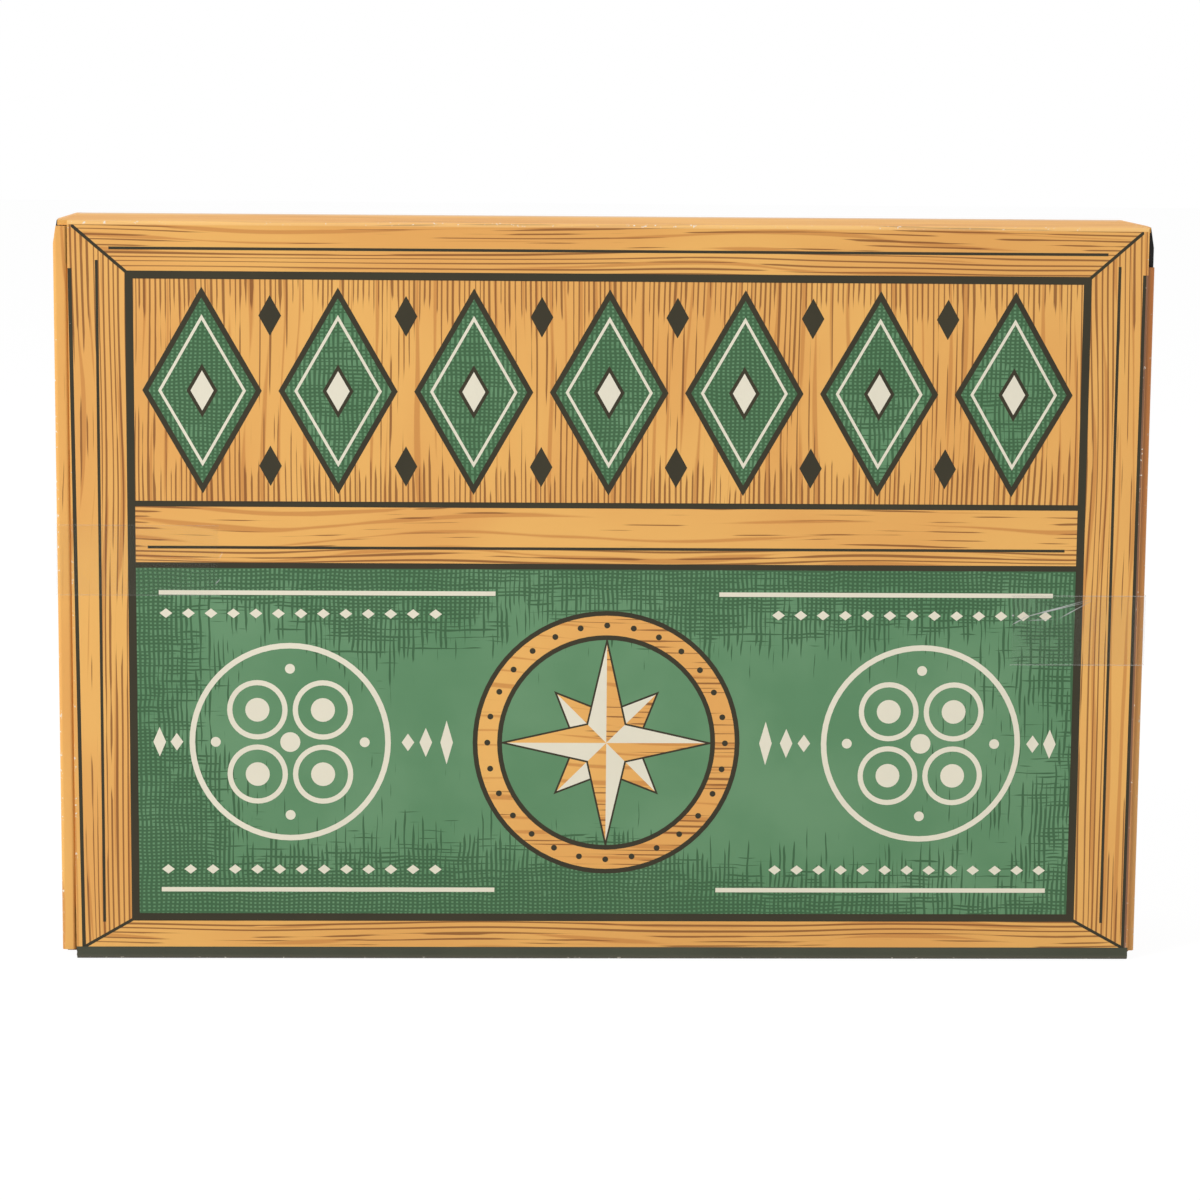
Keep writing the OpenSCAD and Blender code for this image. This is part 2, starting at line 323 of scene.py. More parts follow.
bandTop = 3.4                  # top of the dark band at the lid's lower fold, in millimetres
lidFolds = [(0, lidLow.x, 0.9), (0, lidHigh.x, 0.9), (2, cartonHeight, 1.0), (2, 0.0, 0.7)]
cartonFolds = [(0, -cartonHalf, 0.9), (0, cartonHalf, 0.9), (2, cartonHeight, 1.0), (1, backY, 0.9), (2, 1.3, 1.3)]

printFinish = {"Roughness": 0.48, "Specular IOR Level": 0.3}


def paperGrain(tree, point):
    return noise(tree, stretched(tree, point, (0.9, 0.9, 0.9), (9, 0, 0)), 4.0, 0.6)


def inkMaterial(name, colourOf, folds, finish=printFinish):
    material, tree = blank(name)
    point = objectPoint(tree)
    worn = tint(tree, wearMask(tree, point, folds), colourOf(tree, point), ink["paper"])
    surface(tree, worn, finish, paperGrain(tree, point), 0.12, 0.00012)
    return material


def plainInk(colour, drift=0.06):
    # one ink with the slight unevenness of print on board
    def colourOf(tree, point):
        cloud = noise(tree, stretched(tree, point, (0.04, 0.04, 0.04), (2, 5, 0)), 3.0)
        return tint(tree, step(tree, cloud, 0.3, 0.7), colour, dimmed(colour, 1 - 2 * drift))
    return colourOf


def woodPrint(axis, seed=0.0, dense=0.0, ends=None):
    return lambda tree, point: woodInk(tree, point, axis, seed, dense, ends)


def weavePrint(axes, middle, half, seed=3.0):
    return lambda tree, point: weaveInk(tree, point, axes, middle, half, seed)


# board: print on one face, plain liner on the other, flutes at cut edges

fluteLook = {"wave": 3.2, "swing": 0.55, "medium": 0.2, "liner": 0.72, "board": 1.3}


def fluteInk(tree, point, axis, middle):
    place = parts(tree, point)
    through = calc(tree, "DIVIDE", calc(tree, "SUBTRACT", place[axis], middle), fluteLook["board"] / 2)
    run = calc(tree, "MULTIPLY", calc(tree, "ADD", place[0], place[1]), 2 * math.pi / fluteLook["wave"])
    wave = calc(tree, "MULTIPLY", calc(tree, "SINE", run), fluteLook["swing"])
    medium = step(tree, calc(tree, "ABSOLUTE", calc(tree, "SUBTRACT", through, wave)),
                  fluteLook["medium"] + 0.06, fluteLook["medium"])
    skin = step(tree, calc(tree, "ABSOLUTE", through), fluteLook["liner"], fluteLook["liner"] + 0.05)
    # painted shade: the hollows between liners and fluting are coloured dark
    return tint(tree, either(tree, medium, skin), ink["fluteHollowShade"], ink["core"])


def linerInk(tree, point):
    fibre = noise(tree, stretched(tree, point, (0.5, 0.5, 0.22)), 5.0, 0.72)
    cloud = noise(tree, stretched(tree, point, (0.03, 0.03, 0.03)), 3.0)
    mixed = calc(tree, "MULTIPLY_ADD", fibre, 0.6, calc(tree, "MULTIPLY", cloud, 0.4))
    place = parts(tree, point)
    # faint stripes along the flutes are painted shade of the liner's ripples
    run = calc(tree, "MULTIPLY", calc(tree, "ADD", place[0], place[1]), 2 * math.pi / fluteLook["wave"])
    fibreAndRippleShade = calc(tree, "MULTIPLY_ADD", calc(tree, "SINE", run), 0.028, mixed)
    return tint(tree, step(tree, fibreAndRippleShade, 0.35, 0.65), ink["liner"], ink["linerPatch"])


def boardMaterial(node, outward, colourOf, folds=cartonFolds, shadedAbove=None, rawEdges=True, gloss=0.3):
    # shadedAbove is the height from which the deep corner behind a relief cut gets painted shade, near black
    axis = [abs(v) for v in outward].index(1)
    low, high = span(node)
    middle = (high[axis] if outward[axis] > 0 else low[axis]) - outward[axis] * fluteLook["board"] / 2
    folds = [fold for fold in folds if fold[0] != axis]
    material, tree = blank(node + "Board")
    point = objectPoint(tree)
    normal = put(tree, "ShaderNodeTexCoord").outputs["Normal"]
    facing = put(tree, "ShaderNodeVectorMath", {0: normal, 1: outward}, operation="DOT_PRODUCT").outputs["Value"]
    printed = tint(tree, wearMask(tree, point, folds), colourOf(tree, point), ink["paper"])
    cut = fluteInk(tree, point, axis, middle)
    if shadedAbove is not None:
        place = parts(tree, point)
        # painted shade: cut edges deep in the relief corner are coloured near black
        deep = both(tree, step(tree, place[2], shadedAbove - 1, shadedAbove),
                    step(tree, place[1], wallLow.y + 3, wallLow.y + 2))
        cut = tint(tree, deep, cut, ink["shade"])
        rising = put(tree, "ShaderNodeSeparateXYZ", {0: normal}).outputs[2]
        cut = tint(tree, both(tree, step(tree, rising, 0.7, 0.9), calc(tree, "SUBTRACT", 1.0, deep)), cut, printed)
    edged = tint(tree, step(tree, facing, 0.05, 0.15), cut, printed) if rawEdges else printed
    whole = tint(tree, step(tree, facing, -0.85, -0.95), edged, linerInk(tree, point))
    surface(tree, whole, {"Roughness": 0.52, "Specular IOR Level": gloss}, paperGrain(tree, point), 0.12, 0.00012)
    return material


def dress(node, material):
    mesh = nodes[node].data
    mesh.materials.clear()
    mesh.materials.append(material)


topWood = woodPrint(0, 1.0)


def lidGround(tree, point):
    # wood, and dark round the lower fold
    low = step(tree, parts(tree, point)[2], bandTop + 0.1, bandTop - 0.1)
    return tint(tree, low, topWood(tree, point), ink["band"])


def scuffedTop(tree, point):
    # the top's wood, paler towards the rear crease: a painted highlight
    rearGlow = step(tree, parts(tree, point)[1], backY - 16.0, backY - 1.0)
    return tint(tree, calc(tree, "MULTIPLY", rearGlow, 0.5), topWood(tree, point), ink["paper"])


def shadedRoll(colourOf, edge):
    # the right roll with painted shade: a redder, darker tone that deepens towards the top, and a dull sliver of
    # painted shadow where it bends back behind the lid
    def colour(tree, point):
        place = parts(tree, point)
        near = step(tree, place[0], edge + 1.0, edge + 0.3)
        high = step(tree, place[2], 60.0, 150.0)
        shadedTone = tint(tree, 0.7, colourOf(tree, point), tint(tree, high, ink["rollShadeLow"], ink["rollShadeHigh"]))
        sliverShade = both(tree, near, calc(tree, "MULTIPLY_ADD", high, 0.35, 0.15))
        return tint(tree, sliverShade, shadedTone, ink["rollShade"])
    return colour


dress("lid_panel", boardMaterial("lid_panel", (0, -1, 0), lidGround, lidFolds))
dress("front_flap", boardMaterial("front_flap", (0, 0, -1), plainInk(ink["band"]), lidFolds))
dress("left_dust_flap", boardMaterial("left_dust_flap", (-1, 0, 0), woodPrint(2, 5.0), [(1, frontY, 0.9)]))
dress("right_dust_flap", boardMaterial("right_dust_flap", (1, 0, 0), woodPrint(2, 6.0), [(1, frontY, 0.9)]))
dress("carton_back", boardMaterial("carton_back", (0, 1, 0), woodPrint(2, 2.0)))
dress("hinge_wall", boardMaterial("hinge_wall", (0, 0, 1), scuffedTop, cartonFolds[:2], rawEdges=False, gloss=0.05))
dress("lower_wall", boardMaterial("lower_wall", (0, 0, -1), woodPrint(0, 6.0)))
for side, sign in (("left", -1), ("right", 1)):
    sideWood = woodPrint(2, 8.0 + sign)
    rollTop = span(side + "_wall_roll")[1].z
    dress(side + "_outer_wall", boardMaterial(side + "_outer_wall", (sign, 0, 0), sideWood, shadedAbove=rollTop))
    dress(side + "_inner_wall", boardMaterial(side + "_inner_wall", (-sign, 0, 0), linerInk, shadedAbove=rollTop))
    # only the right roll carries painted shade; the left one keeps the plain print
    rollInk = sideWood if sign < 0 else shadedRoll(sideWood, lidHigh.x)
    dress(side + "_wall_roll", inkMaterial(side + "Roll", rollInk, cartonFolds[:2]))
dress("corner_tabs", inkMaterial("tabBoard", linerInk, cartonFolds))
print("board dressed")


# flat shapes in layers on a face of the carton

inkLayers = {"rise": 0.014, "buried": 0.03}     # millimetres


def facePlace(origin, uAxis, vAxis, outward):
    # from millimetres across, up and out of a face to the frame
    turned = Matrix([Vector(a) for a in (uAxis, vAxis, outward)]).transposed().to_4x4()
    return Matrix.Scale(mm, 4) @ Matrix.Translation(Vector(origin)) @ turned


def rect(u0, v0, u1, v1):
    return [(u0, v0), (u1, v0), (u1, v1), (u0, v1)]


def circle(u, v, radius, count=56):
    return [(u + radius * math.cos(2 * math.pi * i / count), v + radius * math.sin(2 * math.pi * i / count))
            for i in range(count)]


def roundRect(u0, v0, u1, v1, radii, count=6):
    # an outline whose corners, from the lower left one anticlockwise, are round
    outline = []
    corners = ((u0, v0, 180, 1, 1), (u1, v0, 270, -1, 1), (u1, v1, 0, -1, -1), (u0, v1, 90, 1, -1))
    for (u, v, start, su, sv), radius in zip(corners, radii):
        for i in range(count + 1):
            a = math.radians(start + 90 * i / count)
            outline.append((u + su * radius + radius * math.cos(a), v + sv * radius + radius * math.sin(a)))
    return outline


def shrunk(outline, width):
    # a convex outline, anticlockwise, moved inwards by width
    count = len(outline)
    lines = []
    for i in range(count):
        a, b = Vector(outline[i]), Vector(outline[(i + 1) % count])
        run = (b - a).normalized()
        lines.append((a + Vector((-run.y, run.x)) * width, run))
    moved = []
    for i in range(count):
        (p, d), (q, e) = lines[i - 1], lines[i]
        cross = d.x * e.y - d.y * e.x
        reach = ((q.x - p.x) * e.y - (q.y - p.y) * e.x) / cross if abs(cross) > 1e-9 else 0.0
        moved.append(tuple(p + d * reach) if abs(cross) > 1e-9 else tuple(q))
    return moved


def finishMesh(name, mesh, materials, body, smooth=False):
    for material in materials:
        mesh.materials.append(material)
    mesh.polygons.foreach_set("use_smooth", [smooth] * len(mesh.polygons))
    made = bpy.data.objects.new(name, mesh)
    bpy.context.scene.collection.objects.link(made)
    if body:
        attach(made, body)
    return made


class Page:
    # gathers flat shapes on one face, then makes them one closed mesh that rides on a body

    def __init__(self, place, materials):
        self.place, self.materials, self.mesh = place, materials, bmesh.new()

    def add(self, material, level, outer, inner=None):
        index = list(self.materials).index(material)
        heights = (level * inkLayers["rise"], -inkLayers["buried"])
        rims = [[[self.mesh.verts.new(self.place @ Vector((u, v, h))) for u, v in loop] for h in heights]
                for loop in ([outer] if inner is None else [outer, inner])]
        made = []
        count = len(outer)
        for top, foot in rims:
            made += [self.mesh.faces.new((top[i], top[(i + 1) % count], foot[(i + 1) % count], foot[i]))
                     for i in range(count)]
        for h in (0, 1):
            if inner is None:
                made.append(self.mesh.faces.new(rims[0][h]))
            else:
                made += [self.mesh.faces.new((rims[0][h][i], rims[0][h][(i + 1) % count],
                                              rims[1][h][(i + 1) % count], rims[1][h][i])) for i in range(count)]
        for face in made:
            face.material_index = index
        bmesh.ops.recalc_face_normals(self.mesh, faces=made)

    def finish(self, name, body, slot="printed_board"):
        mesh = bpy.data.meshes.new(name)
        self.mesh.to_mesh(mesh)
        self.mesh.free()
        return finishMesh(name, mesh, self.materials.values(), body)


# repeated motifs, by Geometry Nodes

def meshBy(tree, name, values, place):
    # runs a node tree whose inputs are set by name, and gives its result as a plain mesh
    base = bpy.data.meshes.new(name + "Base")
    base.from_pydata([(0, 0, 0)], [], [])
    holder = bpy.data.objects.new(name, base)
    bpy.context.scene.collection.objects.link(holder)
    modifier = holder.modifiers.new(name, "NODES")
    modifier.node_group = tree
    for item in tree.interface.items_tree:
        if item.in_out == "INPUT" and item.name in values:
            modifier[item.identifier] = values[item.name]
    evaluated = holder.evaluated_get(bpy.context.evaluated_depsgraph_get())
    mesh = bpy.data.meshes.new_from_object(evaluated)
    holder.modifiers.clear()
    bpy.data.objects.remove(holder)
    mesh.transform(place)
    return mesh


def nodeTree(name, inputs):
    tree = bpy.data.node_groups.new(name, "GeometryNodeTree")
    tree.interface.new_socket("Geometry", in_out="INPUT", socket_type="NodeSocketGeometry")
    tree.interface.new_socket("Geometry", in_out="OUTPUT", socket_type="NodeSocketGeometry")
    for label, kind, value in inputs:
        tree.interface.new_socket(label, in_out="INPUT", socket_type="NodeSocket" + kind).default_value = value
    return tree, put(tree, "NodeGroupInput").outputs


def stampTree(name, layers, ring=False):
    # motifs in a row or a ring, each a stack of flat stamps: (sides, share of the motif's size, level, material)
    places = (("Middle", "Vector", (0, 0, 0)), ("Radius", "Float", 20.0)) if ring else (
        ("Start", "Vector", (0, 0, 0)), ("Step", "Vector", (30, 0, 0)))
    tree, given = nodeTree(name, (("Count", "Int", 7),) + places + (
        ("Half Width", "Float", 10.0), ("Half Height", "Float", 10.0)))
    if ring:
        loop = put(tree, "GeometryNodeMeshCircle", {"Vertices": given["Count"], "Radius": given["Radius"]})
        spots = put(tree, "GeometryNodeTransform", {"Geometry": loop.outputs["Mesh"],
                    "Translation": given["Middle"]}).outputs[0]
    else:
        spots = put(tree, "GeometryNodeMeshLine", {"Count": given["Count"], "Start Location": given["Start"],
                    "Offset": given["Step"]}, mode="OFFSET").outputs["Mesh"]
    joined = put(tree, "GeometryNodeJoinGeometry")
    for sides, share, level, material in layers:
        top, foot = level * inkLayers["rise"], -inkLayers["buried"]
        stamp = put(tree, "GeometryNodeMeshCylinder", {"Vertices": sides, "Radius": 1.0, "Depth": top - foot})
        halves = [put(tree, "ShaderNodeMath", {0: given[k], 1: share}, operation="MULTIPLY").outputs[0]
                  for k in ("Half Width", "Half Height")]
        size = put(tree, "ShaderNodeCombineXYZ", {0: halves[0], 1: halves[1], 2: 1.0}).outputs[0]
        sized = put(tree, "GeometryNodeTransform", {"Geometry": stamp.outputs["Mesh"], "Scale": size,
                    "Translation": (0, 0, (top + foot) / 2)}).outputs[0]
        placed = put(tree, "GeometryNodeInstanceOnPoints", {"Points": spots, "Instance": sized}).outputs[0]
        real = put(tree, "GeometryNodeRealizeInstances", {0: placed}).outputs[0]
        inked = put(tree, "GeometryNodeSetMaterial", {"Geometry": real, "Material": material}).outputs[0]
        tree.links.new(inked, joined.inputs[0])
    put(tree, "NodeGroupOutput", {0: joined.outputs[0]})
    return tree


# the lid's print

lidPrintLook = {
    "foldLines": (0.95, 1.35), # dark lines along the left and the right fold
    "shadeSliver": 0.5,             # dull rim of painted shadow outside the right one
    "lean": (1.5, 0.5),        # how much further in they lie at the foot
    "cornerClear": 11.5,       # the fold lines end this far below the top
    "keyline": 1.9,            # dark line round the inner field
    "fine": 0.75,              # fine line along a plank
    "mitre": 0.6,
    "band": bandTop,
    "plank": 15.2,             # width of the upright planks
    "foot": 7.4,               # height of the lower plank
    "head": 12.2,              # height of the upper plank
    "groove": 7.6,             # place of the fine line across an upright plank
    "rail": (107.0, 125.0),    # foot and head of the rail between the two fields
    "lozenges": 7,
    "medal": 36.0,             # radius of the middle medallion
    "rosette": 27.0,
    "rosetteAt": 85.0,
}

lidHalf = (lidHigh.x - lidLow.x) / 2
lidMiddle = (lidHigh.x + lidLow.x) / 2


def faceInks(name, axes, middle, half, folds, reach, seed=0.0, level=0, upright=2):
    # the inks of one face; level and upright are the axes of its planks, reach the ends of both kinds
    levelEnds, uprightEnds = [(low, high, grainLook["endReach"]) for low, high in reach]
    return {
        "dark": inkMaterial(name + "Dark", plainInk(ink["dark"], 0.09), folds),
        "woodUp": inkMaterial(name + "WoodUpright", woodPrint(upright, seed, 0.2, uprightEnds), folds),
        "woodUpDense": inkMaterial(name + "WoodUprightDense", woodPrint(upright, seed, 0.95, uprightEnds), folds),
        "woodLevel": inkMaterial(name + "WoodLevel", woodPrint(level, seed + 1, 0.2, levelEnds), folds),
        "woodLevelDense": inkMaterial(name + "WoodLevelDense", woodPrint(level, seed + 1, 0.95, levelEnds), folds),
        "green": inkMaterial(name + "Weave", weavePrint(axes, middle, half), folds),
        "cream": inkMaterial(name + "Cream", plainInk(ink["cream"], 0.02), folds),
    }


def drawFrame(page, u0, v0, u1, v1, look, topOpen=True):
    # four planks with mitred corners and a fine groove in the wide ones; gives the field inside them
    plank, key, gap = look["plank"], look["keyline"], look["mitre"]
    page.add("dark", 1, rect(u0, v0, u1, v1))
    a0, b0, a1 = u0 + look["foldLines"][0], v0, u1 - look["foldLines"][1]
    b1 = v1 if topOpen else v1 - look["foldLines"][0]
    e0, e1 = a0 + look["lean"][0], a1 - look["lean"][1]
    c0, d0, c1, d1 = u0 + plank, v0 + look["foot"], u1 - plank, v1 - look["head"]
    foot, head = [[(e0 + gap, b0), (e1 - gap, b0), (c1 - gap, d0), (c0 + gap, d0)],
                  [(c0 + gap, d1), (c1 - gap, d1), (a1 - gap, b1), (a0 + gap, b1)]]
    left, right = [[(e0, b0 + gap), (c0, d0 + gap), (c0, d1 - gap), (a0, b1 - gap)],
                   [(c1, d0 + gap), (e1, b0 + gap), (a1, b1 - gap), (c1, d1 - gap)]]
    for kind, outline in (("woodLevel", foot), ("woodLevel", head), ("woodUp", left), ("woodUp", right)):
        page.add(kind, 2, outline)
    if topOpen:
        for near, far in ((u0, a0 + 0.1), (a1 - 0.1, u1)):
            page.add("woodUp", 2.5, rect(near, v1 - look["cornerClear"], far, v1))
    # the inner half of each plank carries the dense strokes, past the fine groove
    share = look["groove"] / plank
    def between(p, q):
        return (p[0] + (q[0] - p[0]) * share, p[1] + (q[1] - p[1]) * share)
    inner = [("woodLevelDense", [between(foot[0], foot[3]), between(foot[1], foot[2]), foot[2], foot[3]]),
             ("woodLevelDense", [head[0], head[1], between(head[2], head[1]), between(head[3], head[0])]),
             ("woodUpDense", [between(left[0], left[1]), left[1], left[2], between(left[3], left[2])]),
             ("woodUpDense", [right[0], between(right[1], right[0]), between(right[2], right[3]), right[3]])]
    for kind, outline in inner:
        page.add(kind, 3, outline)
    fine, ends = look["fine"] / 2, 3.2
    g0, g1 = u0 + look["groove"], u1 - look["groove"]
    h0, h1 = v0 + look["foot"] * share, v1 - look["head"] * share
    grooves = [rect(g - fine, h0 + ends, g + fine, h1 - ends) for g in (g0, g1)]
    grooves += [rect(g0 + ends, h - fine, g1 - ends, h + fine) for h, wide in ((h0, look["foot"]), (h1, look["head"]))
                if wide > 8.5]
    for outline in grooves:
        page.add("dark", 4, outline)
    page.add("dark", 4, rect(c0 - 0.2, d0 - 0.2, c1 + 0.2, d1 + 0.2), rect(c0 + key, d0 + key, c1 - key, d1 - key))
    return c0 + key, d0 + key, c1 - key, d1 - key


def polar(u, v, radius, angle):
    return (u + radius * math.cos(angle), v + radius * math.sin(angle))


def drawStar(page, u, v, radius, level):
    # an eight-pointed compass star, each point half cream and half wood
    for ring, (reach, waist, turn) in enumerate(((0.70, 0.30, math.pi / 4), (1.0, 0.26, 0.0))):
        spots = [polar(u, v, radius * (waist if i % 2 else reach), turn + i * math.pi / 4) for i in range(8)]
        page.add("dark", level + ring * 0.5, shrunk(spots, -0.5))
        for i in range(0, 8, 2):
            page.add("cream", level + 0.25 + ring * 0.5, [(u, v), spots[i], spots[i + 1]])
            page.add("woodLevel", level + 0.25 + ring * 0.5, [(u, v), spots[i - 1], spots[i]])


def drawMedal(page, u, v, radius):
    page.add("dark", 3, circle(u, v, radius, 72))
    page.add("woodLevel", 4, circle(u, v, radius - 1.3, 72), circle(u, v, radius - 6.6, 72))
    page.add("green", 4, circle(u, v, radius - 7.9, 72))
    drawStar(page, u, v, radius - 9.2, 4.5)


def drawRosette(page, u, v, radius):
    # four cream rings round a cream pip, in a cream ring
    page.add("cream", 3, circle(u, v, radius, 64), circle(u, v, radius - 1.5, 64))
    for i in range(4):
        cu, cv = polar(u, v, radius * 0.46, math.pi / 4 + i * math.pi / 2)
        page.add("cream", 3, circle(cu, cv, radius * 0.3, 40), circle(cu, cv, radius * 0.3 - 1.4, 40))
        page.add("cream", 3, circle(cu, cv, radius * 0.12, 24))
        page.add("cream", 3, circle(*polar(u, v, radius * 0.74, i * math.pi / 2), radius * 0.05, 16))
    page.add("cream", 3, circle(u, v, radius * 0.1, 24))


def lozengeLayers(halfU, halfV, look, edge, fill, line, pip):
    # the shares of nested lozenges whose borders keep their width
    inset = math.hypot(halfU, halfV) / (halfU * halfV)
    border, fine = look["keyline"] * 0.75, look["fine"]
    return [(4, 1.0, 3, edge), (4, 1 - border * inset, 4, fill), (4, 1 - (border + 2.2) * inset, 4.5, line),
            (4, 1 - (border + 2.2 + fine) * inset, 5, fill), (4, 0.26, 5.5, edge), (4, 0.26 - 0.9 * inset, 6, pip)]


def stampRow(name, body, place, layers, count, start, pace, half):
    # one row of motifs from start, each a pace further
    row = meshBy(stampTree(name, layers), name, {"Count": count, "Start": (*start, 0), "Step": (*pace, 0),
                 "Half Width": half[0], "Half Height": half[1]}, place)
    finishMesh(name, row, [], body)


def stampRing(name, body, place, material, middle, radius):
    # pips round a medallion's wooden ring
    tree = stampTree(name, [(16, 1.0, 5, material)], ring=True)
    pips = meshBy(tree, name, {"Count": 28, "Middle": (*middle, 0), "Radius": radius, "Half Width": 0.8,
                  "Half Height": 0.8}, place)
    finishMesh(name, pips, [], body)


def printLid(look):
    place = facePlace((lidMiddle, frontY, 0), (1, 0, 0), (0, 0, 1), (0, -1, 0))
    foot, head, key = look["band"], cartonHeight - 1.0, look["keyline"]
    railFoot, railHead = look["rail"]
    fieldFoot = foot + look["foot"]
    inks = faceInks("lid", (0, 2), (lidMiddle, (fieldFoot + railFoot) / 2),
                    (lidHalf - look["plank"], (railFoot - fieldFoot) / 2), lidFolds,
                    ((lidLow.x, lidHigh.x), (foot, head - look["head"])))
    inks["band"] = inkMaterial("lidBand", plainInk(ink["band"], 0.09), lidFolds)
    inks["shadeSliver"] = inkMaterial("lidShadeSliver", plainInk(ink["shadeSliver"], 0.1), lidFolds)
    inks["leftEdge"] = inkMaterial("lidLeftEdge", woodPrint(2, 7.0), lidFolds)
    # painted shade: the lid's right rim is tinted like the shaded right roll, while the left rim keeps plain wood
    inks["rightEdgeShade"] = inkMaterial("lidRightEdgeShade", plainInk(ink["edge"], 0.08), lidFolds)
    inks["woodField"] = inkMaterial("lidWoodField", woodPrint(2, 17.0, 0.3, (railHead, head - look["head"], 15.0)),
                                    lidFolds)
    page = Page(place, inks)
    page.add("band", 1, rect(-lidHalf + 0.15, 2.2, lidHalf - 0.15, foot + 0.1))
    u0, v0, u1, v1 = drawFrame(page, -lidHalf + 0.15, foot, lidHalf - 0.15, head, look)
    edge, lean, top = lidHalf - 0.15, look["lean"], head - look["cornerClear"]
    # a dull rim of painted shadow along the lid's right edge
    page.add("shadeSliver", 2, [(edge - look["shadeSliver"] - lean[1], foot), (edge - lean[1], foot), (edge, top),
                           (edge - look["shadeSliver"], top)])
    page.add("rightEdgeShade", 2, [(edge - lean[1], foot), (edge, foot), (edge, top)])
    page.add("leftEdge", 2, [(-edge, foot), (-edge + lean[0], foot), (-edge, top)])
    page.add("green", 2, rect(u0 - 0.3, v0 - 0.3, u1 + 0.3, railFoot + 0.3))
    page.add("woodField", 2, rect(u0 - 0.3, railHead - 0.3, u1 + 0.3, v1 + 0.3))
    page.add("dark", 3, rect(u0 - 0.3, railFoot, u1 + 0.3, railHead))
    page.add("woodLevel", 4, rect(u0, railFoot + key * 0.8, u1, railHead - key * 0.8))
    page.add("woodLevelDense", 4.5, rect(u0, railFoot + key * 0.8, u1, railFoot + 5.6))
    page.add("dark", 5, rect(u0 + 3.2, railFoot + 5.2, u1 - 3.2, railFoot + 5.2 + look["fine"]))
    middle = (v0 + railFoot) / 2
    drawMedal(page, 0, middle, look["medal"])
    for sign in (-1, 1):
        drawRosette(page, sign * look["rosetteAt"], middle, look["rosette"])
        for reach, tall in ((43, 6.0), (48.6, 4.0), (53.4, 2.4), (115.4, 2.4), (120, 4.0)):
            page.add("cream", 3, [(sign * reach + 1.7, middle), (sign * reach, middle + tall),
                                  (sign * reach - 1.7, middle), (sign * reach, middle - tall)])
        for v in (v0 + 6, railFoot - 7.2):
            ends = sorted((sign * 30, sign * (u1 - 6)))
            page.add("cream", 3, rect(ends[0], v, ends[1], v + 1.2))
    page.finish("lidPrint", "lid")
    count = look["lozenges"]
    pitch = (u1 - u0) / count
    half = (pitch / 2 - 2.2, (v1 - railHead) / 2 - 2.0)
    layers = lozengeLayers(*half, look, inks["dark"], inks["green"], inks["cream"], inks["cream"])
    high = (railHead + v1) / 2
    stampRow("lozenges", "lid", place, layers, count, (u0 + pitch / 2, high), (pitch, 0), half)
    small = [(4, 1.0, 3, inks["dark"])]
    for tag, v in (("Foot", railHead + 9.5), ("Head", v1 - 9.5)):
        stampRow("lozengeGaps" + tag, "lid", place, small, count - 1, (u0 + pitch, v), (pitch, 0), (3.0, 5.4))
    chain = [(4, 1.0, 3, inks["cream"])]
    for tag, v in (("Foot", v0 + 12.2), ("Head", railFoot - 12.2)):
        for side, start in (("Left", -118), ("Right", 46)):
            stampRow("chain" + side + tag, "lid", place, chain, 13, (start, v), (6, 0), (1.7, 1.3))
    stampRing("ringPips", "lid", place, inks["dark"], (0, middle), look["medal"] - 3.95)


printLid(lidPrintLook)
print("lid printed")


# the carton's other faces

sideLook = {**lidPrintLook, "foldLines": (0.9, 0.9), "lean": (0, 0), "plank": 9.0, "foot": 9.0, "head": 9.0, "groove": 4.6, "keyline": 1.5, "keepClear": 3.0}
backLook = {**lidPrintLook, "foldLines": (0.9, 0.9), "lean": (0, 0), "foot": 13.0, "head": 13.0, "band": 1.2, "medal": 34.0}


def printSide(name, sign, look):
    # a side wall: wooden planks round a tall woven field with a column of lozenges
    depthHalf = (wallHigh.y - wallLow.y) / 2
    place = facePlace((sign * cartonHalf, (wallHigh.y + wallLow.y) / 2, 0), (0, sign, 0), (0, 0, 1), (sign, 0, 0))
    foot, head = wallLow.z + 0.3, cartonHeight - 7.0
    inks = faceInks(name, (1, 2), ((wallHigh.y + wallLow.y) / 2, (foot + head) / 2),
                    (depthHalf, (head - foot) / 2), cartonFolds[2:], ((wallLow.y, wallHigh.y), (foot, head)),
                    8.0 + sign, level=1)
    page = Page(place, inks)
    half = depthHalf - look["keepClear"]
    u0, v0, u1, v1 = drawFrame(page, -half, foot, half, head, look, topOpen=False)
    page.add("green", 2, rect(u0 - 0.3, v0 - 0.3, u1 + 0.3, v1 + 0.3))
    page.finish(name + "Print", "carton")
    count = 4
    tall = (v1 - v0) / count
    halfU, halfV = (u1 - u0) / 2 - 2.4, tall / 2 - 4.0
    layers = lozengeLayers(halfU, halfV, look, inks["dark"], inks["woodUp"], inks["dark"], inks["cream"])
    stampRow(name + "Lozenges", "carton", place, layers, count, (0, v0 + tall / 2), (0, tall), (halfU, halfV))
    for tag, u in (("Near", u0 + 5.0), ("Far", u1 - 5.0)):
        stampRow(name + "Pips" + tag, "carton", place, [(24, 1.0, 3, inks["cream"])], count - 1,
                 (u, v0 + tall), (0, tall), (1.4, 1.4))


